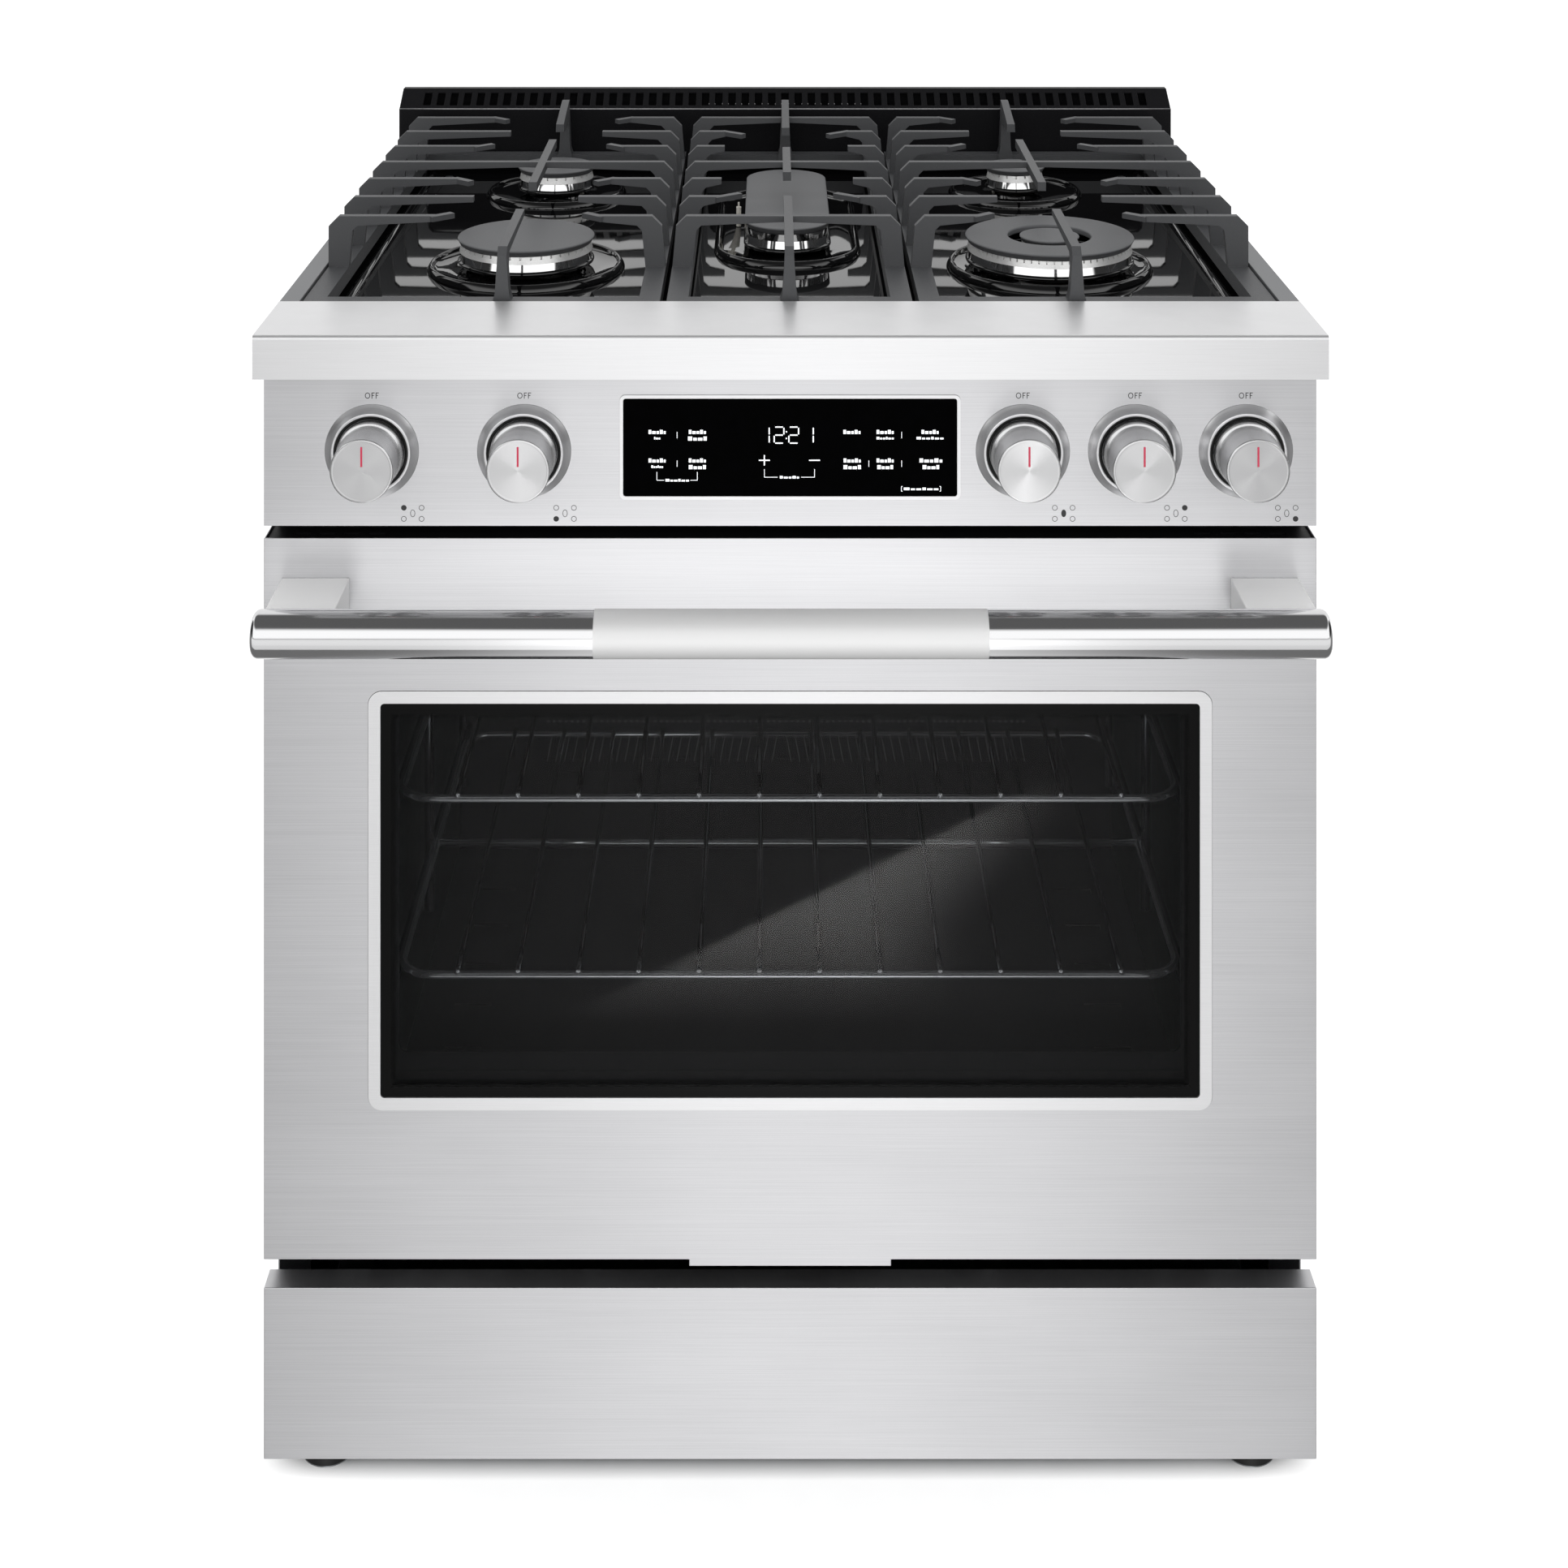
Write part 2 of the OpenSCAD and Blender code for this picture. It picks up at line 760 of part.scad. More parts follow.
module burner_heads() {
    color("silver") at_face() {
        for (k = [0 : 2]) {
            b = burners[k];
            head_r = b[2] - head_in;
            translate([b[0], b[1], head_low]) difference() {
                cylinder(r = head_r, h = head_h);
                translate([0, 0, 3]) cylinder(r = head_r - 5, h = head_h);
                port_cuts(head_r, port_pitch);
            }
        }
        fr = burners[3];
        fr_r = fr[2] - head_in;
        translate([fr[0], fr[1], head_low]) {
            difference() {
                cylinder(r = fr_r, h = head_h);
                translate([0, 0, 3]) cylinder(r = fr_r - 5, h = head_h);
                port_cuts(fr_r, port_pitch_ring);
            }
            translate([0, 0, 3 - eps]) difference() {
                cylinder(r = cap_fr_hole / 2 + 4, h = head_h - 3 + eps);
                translate([0, 0, -cut]) cylinder(r = cap_fr_hole / 2, h = head_h + 2 * cut);
            }
            translate([0, 0, 3 - eps]) difference() {
                cylinder(r = cap_in_d / 2 - 2, h = head_h - 3 + eps);
                translate([0, 0, 3]) cylinder(r = cap_in_d / 2 - 6, h = head_h);
            }
        }
        translate([0, centre_y, head_low]) difference() {
            linear_extrude(head_h) stadium(oblong_w - 4, oblong_l - 4);
            translate([0, 0, 3]) linear_extrude(head_h) stadium(oblong_w - 14, oblong_l - 14);
            for (k = [-5 : 5], s = [-1, 1]) {
                translate([s * (oblong_w / 2 - 5) - 4, k * 14 - 1, head_h - 5]) cube([8, 2, 6]);
            }
        }
    }
}

module burner_caps() {
    color("darkslategray") at_face() {
        for (k = [0 : 2]) {
            b = burners[k];
            translate([b[0], b[1], cap_low]) cap_disc(b[2]);
        }
        fr = burners[3];
        translate([fr[0], fr[1], cap_low]) {
            difference() {
                cap_disc(fr[2]);
                translate([0, 0, -cut]) cylinder(r = cap_fr_hole / 2, h = cap_t + 2 * cut);
            }
            cap_disc(cap_in_d / 2);
        }
        translate([0, centre_y, cap_low]) linear_extrude(cap_t) stadium(oblong_w, oblong_l);
    }
}

module cap_disc(r) {
    cylinder(r = r, h = cap_t - 1.5);
    translate([0, 0, cap_t - 1.5]) cylinder(r1 = r, r2 = r - 1.5, h = 1.5);
}

module spark_electrodes() {
    color("white") at_face() {
        for (b = burners) {
            r = b[2] + electrode_r + 3;
            a = b[0] < 0 ? 60 : 120;
            electrode([b[0] + r * cos(a), b[1] + r * sin(a)]);
        }
        electrode([-oblong_w / 2 - electrode_r - 4, centre_y]);
    }
}

module electrode(p) {
    bar_z(electrode_r, p[0], p[1], pan_z + 2, cap_low - 3);
    bar_z(0.8, p[0], p[1], cap_low - 4, cap_low + 1);
}

// ---- Grates ----

// One arch from a leg: rises, bevels and runs inward, thinner towards the tip
module arch(length, lean) {
    rise = grate_top - base_top + 2;
    inside = leg_w + leg_lean;
    rotate([90, 0, 0]) translate([0, 0, -finger_t / 2]) linear_extrude(finger_t) polygon([
        [0, 0], [lean, rise - chamfer], [lean + chamfer, rise], [length, rise], [length, rise - tip_h],
        [inside + inner_corner, rise - finger_h], [inside, rise - finger_h - inner_corner], [leg_w, 0]
    ]);
}

// Short end of a finger, turned in plan towards its burner
module hook(turn, length) {
    rise = grate_top - base_top + 2;
    wide = finger_t - 2 * cast_step;
    rotate([0, 0, turn]) translate([-hook_root, -wide / 2, rise - tip_h + cast_step])
        cube([hook_root + length, wide, tip_h - 2 * cast_step]);
}

module side_grate_row(i, outer, inner) {
    hooked = i % 2 == 0;
    reach = hooked ? long_reach : short_reach;
    turn = i == 0 || i == 4 ? hook_turn : -hook_turn;
    half = (outer - inner) / 2 + 1;
    outer_len = i == 3 ? half : outer - burner_x - reach;
    inner_len = i == 3 ? half : burner_x - inner - reach;
    translate([0, row_y(i), base_top - 2]) {
        translate([inner, 0, 0]) arch(inner_len, leg_lean);
        translate([outer, 0, 0]) mirror([1, 0, 0]) arch(outer_len, 0);
        if (hooked) {
            translate([inner + inner_len, 0, 0]) hook(turn, hook_l);
            translate([outer - outer_len, 0, 0]) mirror([1, 0, 0]) hook(turn, hook_l);
        }
    }
}

// Front view of a cast post, swept from y0 to y1: a wide foot, a draft and a finger on top
module post_draft(x, y0, y1, top) {
    half = finger_t / 2;
    base_t = base_top - base_low;
    translate([x, y1, base_low]) rotate([90, 0, 0]) linear_extrude(y1 - y0) polygon([
        [-post_foot, -cut], [-post_foot, base_t], [-half - post_taper, base_t + post_flare],
        [-half, top - finger_h], [-half, top + cut], [half, top + cut], [half, top - finger_h],
        [half + post_taper, base_t + post_flare], [post_foot, base_t], [post_foot, -cut]
    ]);
}

// Upright post with a finger running back from it, over one x
module front_post(x, y_tip) {
    rise = grate_top - base_low;
    intersection() {
        translate([x - post_foot - cut, 0, base_low]) rotate([90, 0, 90])
            linear_extrude(2 * (post_foot + cut)) polygon([
                [grate_front, 0], [grate_front, rise - 6], [grate_front + 6, rise], [y_tip, rise],
                [y_tip, rise - tip_h], [grate_front + leg_w + 4, rise - finger_h],
                [grate_front + leg_w - 4, rise - finger_h - 8], [grate_front + leg_w - 2, 0]
            ]);
        post_draft(x, grate_front - cut, y_tip + cut, rise);
    }
}

module rear_horn(x, y_tip) {
    rise = grate_top - base_low;
    intersection() {
        translate([x - post_foot - cut, 0, base_low]) rotate([90, 0, 90])
            linear_extrude(2 * (post_foot + cut)) polygon([
                [horn_back, 0], [horn_back, rise + horn_rise], [horn_back - 8, rise + horn_rise],
                [y_tip, rise], [y_tip, rise - finger_h], [horn_back - leg_w, rise - finger_h],
                [horn_back - leg_w, 0]
            ]);
        post_draft(x, y_tip - cut, horn_back + cut, rise + horn_rise);
    }
}

// Finger that runs front to back between two distances from the middle row
module long_finger(x, ahead, behind) {
    half = finger_t / 2;
    span([x - half, row_y(3) - ahead, grate_top - finger_h], [x + half, row_y(3) + behind, grate_top]);
}

module grate_base(x0, x1) {
    difference() {
        span([x0, grate_front, base_low], [x1, grate_back, base_top]);
        span([x0 + leg_w, grate_front + leg_w - 2, base_low - cut],
             [x1 - leg_w, grate_back - leg_w + 2, base_top + cut]);
    }
    for (x = [x0 + 1, x1 - 13], y = [grate_front + 1, grate_back - 13]) {
        span([x, y, grate_foot], [x + 12, y + 12, base_low + cut]);
    }
}

module side_grate() {
    inner = side_in;
    outer = side_out;
    color("dimgray") at_face() {
        grate_base(inner, outer);
        for (i = [0 : 6]) side_grate_row(i, outer, inner);
        front_post(burner_x, row_y(0) + 22);
        long_finger(burner_x, 83, 96);
        rear_horn(burner_x, grate_back - 68);
    }
}

module left_grate() {
    mirror([1, 0, 0]) side_grate();
}

module right_grate() {
    side_grate();
}

module centre_grate() {
    full = [0, 3, 6];
    hooked = [1, 5];
    color("dimgray") at_face() {
        grate_base(-mid_half, mid_half);
        for (i = full) both_sides() translate([mid_half, row_y(i), base_top - 2]) {
            mirror([1, 0, 0]) arch(mid_half + 1, leg_lean);
        }
        for (i = hooked) both_sides() translate([mid_half, row_y(i), base_top - 2]) mirror([1, 0, 0]) {
            arch(mid_short, leg_lean);
            translate([mid_short, 0, 0]) hook(i == 1 ? mid_hook_turn : -mid_hook_turn, mid_hook_l);
        }
        for (i = [2, 4]) both_sides() translate([mid_half, row_y(i), base_top - 2]) {
            mirror([1, 0, 0]) arch(mid_short, leg_lean);
        }
        front_post(0, row_y(1) + 2);
        long_finger(0, 44, 62);
        rear_horn(0, grate_back - 85);
    }
}

// ---- Controls ----

module control_panel() {
    color("gainsboro") at_face() difference() {
        span([-half_w, 0, panel_low], [half_w, frame_y, rail_low]);
        span([-half_w + sheet_t, sheet_t, panel_low + sheet_t],
             [half_w - sheet_t, frame_y + cut, rail_low - sheet_t]);
        round_plate(glass_w + 2 * display_rim + 0.2, glass_h + 2 * display_rim + 0.2, 4.1,
                    -cut, sheet_t + cut, display_z);
        for (x = knob_x) bar_y(stem_d / 2 + 2, x, -cut, sheet_t + cut, knob_z);
        for (x = [-half_w + 30 : 26 : half_w - 50]) {
            span([x, 30, panel_low - cut], [x + 18, 36, panel_low + sheet_t + cut]);
        }
    }
}

module display_bezel() {
    color("silver") at_face() difference() {
        union() {
            round_plate(glass_w + 2 * display_rim, glass_h + 2 * display_rim, 4, -1, sheet_t + 1, display_z);
            round_plate(glass_w + 12, glass_h + 12, 4, sheet_t, sheet_t + 1, display_z);
            round_plate(glass_w + 2 * display_rim, glass_h + 2 * display_rim, 4, sheet_t, 4, display_z);
        }
        round_plate(glass_w + 0.2, glass_h + 0.2, 2, -1 - cut, 3, display_z);
        round_plate(glass_w - 5, glass_h - 5, 2, 0, 4 + cut, display_z);
    }
}

module display_glass() {
    color("black") at_face() round_plate(glass_w, glass_h, 2, -0.3, 3, display_z);
}

module control_board() {
    w = glass_w / 2 + display_rim;
    h = glass_h / 2 + display_rim;
    color("darkgreen") at_face() {
        difference() {
            span([-w, 4, display_z - h], [w, housing_back, display_z + h]);
            span([-w + 2, 4 - cut, display_z - h + 2], [w - 2, housing_back - 2, display_z + h - 2]);
        }
        span([-w + 1, 12, display_z - h + 1], [w - 1, 13.6, display_z + h - 1]);
        for (x = [-60, 20, 70]) span([x, 13, display_z - 18], [x + 26, housing_back - 1, display_z + 8]);
    }
}

module burner_valves() {
    color("goldenrod") at_face() for (x = knob_x) difference() {
        union() {
            span([x - valve_w / 2, valve_front, manifold_z], [x + valve_w / 2, valve_back, manifold_z + valve_w]);
            bar_y(stem_d / 2 + 4, x, sheet_t + 1, valve_front + 1, knob_z);
        }
        bar_y(stem_d / 2 + fit_gap, x, -cut, valve_back - 12, knob_z);
    }
}

// Pipe through a list of corner points, square to the axes
module pipe(points, r) {
    for (i = [0 : len(points) - 2]) {
        a = points[i];
        b = points[i + 1];
        d = b - a;
        if (abs(d.x) > 0) bar_x(r, min(a.x, b.x), max(a.x, b.x), a.y, a.z);
        if (abs(d.y) > 0) bar_y(r, a.x, min(a.y, b.y), max(a.y, b.y), a.z);
        if (abs(d.z) > 0) bar_z(r, a.x, a.y, min(a.z, b.z), max(a.z, b.z));
    }
    for (i = [1 : len(points) - 2]) sphere_at(points[i], r);
}

// The burner that each knob feeds, as [x, y, height of its run]
feeds = [
    [-burner_x, rear_y, 8], [-burner_x, front_y, 20], [0, centre_y, 20],
    [burner_x, rear_y, 8], [burner_x, front_y, 20]
];

// Square elbow, or a cross piece when its ends lie apart
module elbow(x0, x1, z) {
    span([x0 - elbow_r, supply_y - elbow_r, z - elbow_r], [x1 + elbow_r, supply_y + elbow_r, z + elbow_r]);
}

module gas_piping() {
    tube_z = manifold_z - manifold_w / 2;
    end_x = supply_x + supply_r + 2;
    joint = elbow_r + fit_gap;
    regulator_z = inlet_z + 60;
    regulator_l = 40;
    inlet_y = side_back - recess_d + 6;
    color("peru") at_face() {
        difference() {
            span([knob_x[0] - 30, valve_back - manifold_w, manifold_z - manifold_w],
                 [end_x, valve_back, manifold_z]);
            span([knob_x[0] - 27, valve_back - manifold_w + 3, manifold_z - manifold_w + 3],
                 [end_x - 3, valve_back - 3, manifold_z - 3]);
        }
        for (x = [-250, 0, 210]) {
            span([x, valve_back - 1, manifold_z - manifold_w], [x + 16, frame_y, manifold_z - 4]);
        }
        bar_y(supply_r, supply_x, valve_back + fit_gap, supply_y - joint, tube_z);
        elbow(supply_x, supply_x, tube_z);
        bar_z(supply_r, supply_x, supply_y, regulator_z + regulator_l + fit_gap, tube_z - joint);
        bar_z(regulator_r, supply_x, supply_y, regulator_z, regulator_z + regulator_l);
        bar_z(supply_r, supply_x, supply_y, inlet_z + joint, regulator_z - fit_gap);
        elbow(inlet_x, supply_x, inlet_z);
        bar_y(supply_r, inlet_x, supply_y + joint, inlet_y + cut, inlet_z);
        bar_y(inlet_r, inlet_x, inlet_y, body_d - 8, inlet_z);
        for (i = [0 : 4]) {
            x = knob_x[i];
            f = feeds[i];
            run = port_z + f[2];
            pipe([
                [x, valve_back, port_z], [x, frame_back + 12, port_z], [x, frame_back + 12, run],
                [x, f[1], run], [f[0], f[1], run], [f[0], f[1], holder_low]
            ], tube_r);
        }
    }
}

module knob_bezels() {
    color("silver") at_face() for (x = knob_x) translate([x, 0, knob_z]) rotate([90, 0, 0]) {
        rotate_extrude() polygon([
            [knob_d / 2 + 2, 0], [bezel_d / 2, 0], [bezel_d / 2, bezel_t - 2],
            [bezel_d / 2 - 2, bezel_t], [knob_d / 2 + 4, bezel_t], [knob_d / 2 + 2, bezel_t - 2]
        ]);
    }
}

// The flat of the D-shaped stem lies at this height over its axis
stem_flat = stem_d / 2 - 1.5;

module valve_stem(i) {
    color("silver") at_face() difference() {
        bar_y(stem_d / 2, knob_x[i], stem_front, valve_back - 14, knob_z);
        translate([knob_x[i] - stem_d, stem_front - cut, knob_z + stem_flat])
            cube([2 * stem_d, -stem_front - knob_gap + knob_push + 0.5 + cut, stem_d]);
    }
}

module knob(i) {
    face = 1.5;
    color("silver") at_face() translate([knob_x[i], -knob_gap, knob_z]) rotate([90, 0, 0]) difference() {
        rotate_extrude() polygon([
            [0, 0], [knob_d / 2, 0], [knob_d / 2, 9], [knob_d / 2 - 1, 10], [grip_d / 2, 11],
            [grip_d / 2, knob_reach - knob_gap - face], [grip_d / 2 - face, knob_reach - knob_gap],
            [0, knob_reach - knob_gap]
        ]);
        difference() {
            translate([0, 0, -cut])
                cylinder(r = stem_d / 2 + fit_gap, h = -stem_front - knob_gap + knob_push + 1 + cut);
            translate([-stem_d, stem_flat + fit_gap, -2 * cut]) cube([2 * stem_d, stem_d, knob_reach + 3]);
        }
    }
}

module valve_stem_1() {
    valve_stem(0);
}

module valve_stem_2() {
    valve_stem(1);
}

module valve_stem_3() {
    valve_stem(2);
}

module valve_stem_4() {
    valve_stem(3);
}

module valve_stem_5() {
    valve_stem(4);
}

module knob_1() {
    knob(0);
}

module knob_2() {
    knob(1);
}

module knob_3() {
    knob(2);
}

module knob_4() {
    knob(3);
}

module knob_5() {
    knob(4);
}

// ---- Door ----

// Room in the door for the fixed lugs, from closed to fully open
module hinge_notches() {
    both_sides() span([hinge_x - lug_t / 2 - ear_gap, hinge_y - lug_r - 1, door_low - 10],
                      [hinge_x + lug_t / 2 + ear_gap, door_t + cut, hinge_z + lug_r + 1]);
}

module hinge_brackets() {
    color("dimgray") at_face() both_sides() difference() {
        union() {
            bar_x(lug_r, hinge_x - lug_t / 2, hinge_x + lug_t / 2, hinge_y, hinge_z);
            span([hinge_x - lug_t / 2, hinge_y, hinge_z - lug_r],
                 [hinge_x + lug_t / 2, frame_y, hinge_z + lug_r]);
        }
        bar_x(pin_d / 2 + fit_gap, hinge_x - 20, hinge_x + 20, hinge_y, hinge_z);
    }
}

module hinge_pins() {
    reach = lug_t / 2 + ear_gap + ear_t;
    color("silver") at_face() both_sides() {
        bar_x(pin_d / 2, hinge_x - reach, hinge_x + reach, hinge_y, hinge_z);
    }
}

module door_skin() {
    lip_w = 146;
    color("gainsboro") at_face() difference() {
        union() {
            span([-half_w, 0, door_low], [half_w, sheet_t, door_top]);
            both_sides() span([inner_w, 0, door_low], [half_w, door_t - 2, door_top]);
            span([-half_w, 0, door_low], [half_w, 30, door_low + sheet_t]);
            span([-lip_w / 2, 0, door_low - 4.7], [lip_w / 2, 12, door_low + sheet_t]);
        }
        round_plate(trim_out_w + 0.2, trim_out_h + 0.2, 10.1, -cut, sheet_t + cut, window_mid);
        hinge_notches();
    }
}

ledge_w = 12;
trim_back = glass_t + 0.2;

module window_trim() {
    color("silver") at_face() difference() {
        union() {
            round_plate(trim_out_w, trim_out_h, 10, -0.6, trim_back + 1.5, window_mid);
            round_plate(trim_out_w + 14, trim_out_h + 14, 10, sheet_t, sheet_t + 1.2, window_mid);
        }
        round_plate(window_w + 0.4, window_h + 0.4, 3, -1, trim_back, window_mid);
        round_plate(window_w - ledge_w, window_h - ledge_w, 3, -1, trim_back + 2, window_mid);
    }
}

module door_window() {
    color("black") at_face() round_plate(window_w, window_h, 3, trim_back - glass_t, trim_back, window_mid);
}

lid_z = door_top - 5;
view_w = window_w - ledge_w;
view_h = window_h - ledge_w;

module door_liner() {
    flange_y = 20;
    color("darkslategray") at_face() difference() {
        union() {
            span([-inner_w, door_t - sheet_t, liner_low], [inner_w, door_t, lid_z]);
            both_sides() span([inner_w - sheet_t, flange_y, liner_low], [inner_w, door_t, lid_z]);
            span([-inner_w, flange_y, liner_low], [inner_w, door_t, liner_low + sheet_t]);
            span([-inner_w, flange_y, lid_z - sheet_t], [inner_w, door_t, lid_z]);
            both_sides() for (s = [-1, 1]) {
                hinge_ear(hinge_x + s * (lug_t / 2 + ear_gap + ear_t / 2));
            }
        }
        round_plate(view_w, view_h, 6, door_t - 3, door_t + cut, window_mid);
        hinge_notches();
        both_sides() bar_x(pin_d / 2 + fit_gap, hinge_x - 20, hinge_x + 20, hinge_y, hinge_z);
    }
}

module hinge_ear(x) {
    bar_x(ear_r, x - ear_t / 2, x + ear_t / 2, hinge_y, hinge_z);
    span([x - ear_t / 2, hinge_y - ear_r, hinge_z], [x + ear_t / 2, hinge_y + ear_r, hinge_z + 16]);
    span([x - ear_t / 2, hinge_y, hinge_z + 4], [x + ear_t / 2, door_t - sheet_t, hinge_z + 16]);
}

module door_inner_glass() {
    back = door_t - sheet_t;
    color("lightblue") at_face() round_plate(view_w + 24, view_h + 24, 6, back - glass_t, back, window_mid);
}

module door_top_vent() {
    color("black") at_face() difference() {
        span([-inner_w, sheet_t, lid_z], [inner_w, door_t - 1, lid_z + 3]);
        both_sides() for (k = [0 : 3], j = [0, 1]) {
            translate([inner_w - 30 - k * 18, 12 + j * 12, lid_z - cut]) cube([12, 4, 6]);
        }
    }
}

module door_gasket() {
    inner = cavity_w / 2 + 3;
    bead = 10;
    low = cavity_low - 3;
    high = cavity_top + 3;
    color("dimgray") at_face() difference() {
        span([-inner - bead, frame_y - gasket_t, low - bead], [inner + bead, frame_y, high + bead]);
        span([-inner, frame_y - gasket_t - cut, low], [inner, frame_y + cut, high]);
    }
}

// Thick tube with a welded plug in each end
module handle_bar() {
    tip = 1.5;
    wall = 3;
    color("silver") at_face() translate([0, -bar_reach, bar_z]) rotate([0, 90, 0]) difference() {
        rotate_extrude() polygon([
            [0, -bar_l / 2], [bar_d / 2 - tip, -bar_l / 2], [bar_d / 2, -bar_l / 2 + tip],
            [bar_d / 2, bar_l / 2 - tip], [bar_d / 2 - tip, bar_l / 2], [0, bar_l / 2]
        ]);
        cylinder(r = bar_d / 2 - wall, h = bar_l - 4 * wall, center = true);
    }
}

module handle_standoffs() {
    color("silver") at_face() both_sides() difference() {
        span([post_x - post_w / 2, -bar_reach, bar_z - post_h / 2], [post_x + post_w / 2, 0, bar_z + post_h / 2]);
        bar_x(bar_d / 2 + fit_gap, 0, body_w, -bar_reach, bar_z);
    }
}

// ---- Drawer ----

runner_z = slide_z + (slide_h - runner_h) / 2;

module drawer_front() {
    color("gainsboro") at_face() difference() {
        span([-half_w, 0, leg_h], [half_w, drawer_t, drawer_top]);
        span([-inner_w, sheet_t, leg_h + sheet_t], [inner_w, drawer_t + cut, drawer_top - sheet_t]);
    }
}

module drawer_tub() {
    back = drawer_t + tub_d;
    color("slategray") at_face() {
        span([-inner_w, drawer_t, leg_h + 1], [inner_w, drawer_t + sheet_t, drawer_top - 1]);
        difference() {
            span([-tub_half, drawer_t, tub_low], [tub_half, back, tub_top]);
            span([-tub_half + sheet_t, drawer_t + sheet_t, tub_low + sheet_t],
                 [tub_half - sheet_t, back - sheet_t, tub_top + cut]);
        }
        both_sides() span([tub_half - eps, frame_back + 6, runner_z],
                          [tub_half + slide_t, back, runner_z + runner_h]);
    }
}

module drawer_slides() {
    web = 3;
    channel_x = tub_half + slide_t + run_gap;
    back = drawer_t + tub_d + 12;
    color("silver") at_face() both_sides() difference() {
        span([tub_half + slide_t - 10, frame_back, slide_z], [inner_w, back, slide_z + slide_h]);
        span([tub_half - cut, frame_back - cut, runner_z - run_gap],
             [channel_x, back - 8, runner_z + runner_h + run_gap]);
        span([channel_x + web, frame_back - cut, slide_z + web],
             [inner_w - web, back + cut, slide_z + slide_h - web]);
    }
}

module panel_screws() {
    shank = rear_screw_r;
    color("silver") at_face() both_sides() {
        for (z = rear_screw_z) {
            bar_y(shank, inner_w - 6, side_back - 8, side_back + sheet_t + eps, z);
            bar_y(shank + 2, inner_w - 6, side_back + sheet_t, side_back + sheet_t + 2, z);
        }
        for (y = pan_screw_y) {
            bar_z(shank, pan_screw_x, y, pan_low - 6, pan_z + eps);
            bar_z(shank + 2, pan_screw_x, y, pan_z, pan_z + 2);
        }
    }
}

left_side_panel();
right_side_panel();
rear_panel();
base_frame();
leveling_legs();
front_frame();
oven_liner();
oven_floor();
insulation_wrap();
cooktop_pan();
front_rail();
cooktop_trims();
vent_trim();
control_panel();
display_glass();
display_bezel();
control_board();
gas_piping();
burner_valves();
knob_bezels();
burner_bases();
burner_heads();
burner_caps();
spark_electrodes();
bake_burner();
broil_burner();
fan_cover();
fan_motor();
convection_fan();
rack_guides();
upper_rack();
lower_rack();
hinge_brackets();
hinge_pins();
door_skin();
door_window();
window_trim();
door_liner();
door_inner_glass();
door_top_vent();
door_gasket();
handle_bar();
handle_standoffs();
drawer_front();
drawer_tub();
drawer_slides();
left_grate();
centre_grate();
right_grate();
valve_stem_1();
valve_stem_2();
valve_stem_3();
valve_stem_4();
valve_stem_5();
knob_1();
knob_2();
knob_3();
knob_4();
knob_5();
panel_screws();
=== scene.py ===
# %% [markdown]
# # A freestanding gas range
#
# The construction of the range comes in as a fixed frame: every panel, rack, grate and knob at its real
# size and place. This script gives it its looks. Flat sheet metal only needs a good material, while turned,
# cast and bent pieces are computed again with numpy, because their curves and soft edges catch the light.

# %% Load the frame
import json
import math

import bmesh
import bpy
import numpy as np
from mathutils import Matrix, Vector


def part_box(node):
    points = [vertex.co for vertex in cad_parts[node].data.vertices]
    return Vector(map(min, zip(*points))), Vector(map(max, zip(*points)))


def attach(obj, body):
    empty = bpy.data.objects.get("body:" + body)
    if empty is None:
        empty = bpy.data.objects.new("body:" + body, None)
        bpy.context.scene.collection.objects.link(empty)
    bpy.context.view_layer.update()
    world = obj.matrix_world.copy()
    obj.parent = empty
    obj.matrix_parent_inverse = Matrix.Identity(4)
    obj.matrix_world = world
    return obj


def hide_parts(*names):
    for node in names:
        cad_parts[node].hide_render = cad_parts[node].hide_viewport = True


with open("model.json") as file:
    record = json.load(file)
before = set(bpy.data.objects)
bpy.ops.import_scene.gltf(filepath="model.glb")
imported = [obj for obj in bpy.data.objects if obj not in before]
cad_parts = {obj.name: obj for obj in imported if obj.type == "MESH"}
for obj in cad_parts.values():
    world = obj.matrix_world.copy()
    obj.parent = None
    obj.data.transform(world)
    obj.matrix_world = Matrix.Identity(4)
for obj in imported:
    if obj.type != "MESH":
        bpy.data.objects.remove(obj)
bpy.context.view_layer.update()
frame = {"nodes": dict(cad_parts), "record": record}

nodes = frame["nodes"]
slot_of = {part["node"]: part["material_slot"] for part in frame["record"]["subparts"]}
body_of = {node: body for body, members in frame["record"]["behaviour"]["bodies"].items()
           for node in members}

# %% [markdown]
# ## Places
#
# Everything is placed from the frame's own boxes. The door's face is the zero of depth for most of the
# front, so it gets a name, and so do the lines that several pieces share. Lengths are metres in Blender, so
# sections that are easier to read in millimetres are multiplied by MM.

# %% Reference places
MM = 0.001


def low(node):
    """Lowest corner of a node's box, as an array."""
    return np.array(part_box(node)[0])


def high(node):
    """Highest corner of a node's box, as an array."""
    return np.array(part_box(node)[1])


def centre(node):
    """Middle of a node's box, as an array."""
    return (low(node) + high(node)) / 2


face_y = low("door_skin")[1]
half_w = high("front_rail")[0]
print("door face at", round(float(face_y), 4), "half width", round(float(half_w), 4))

# %% [markdown]
# ## The camera
#
# A photographer of appliances keeps the camera level, so that uprights stay upright, and slides the lens
# down instead of tilting it. Shift could do that, but it would follow the camera into every other view.
# Here the camera's own frame is sheared by the empty that it hangs on: its picture plane stays parallel to
# the door while its sight line points down to the middle of the range, and any other view starts clean.

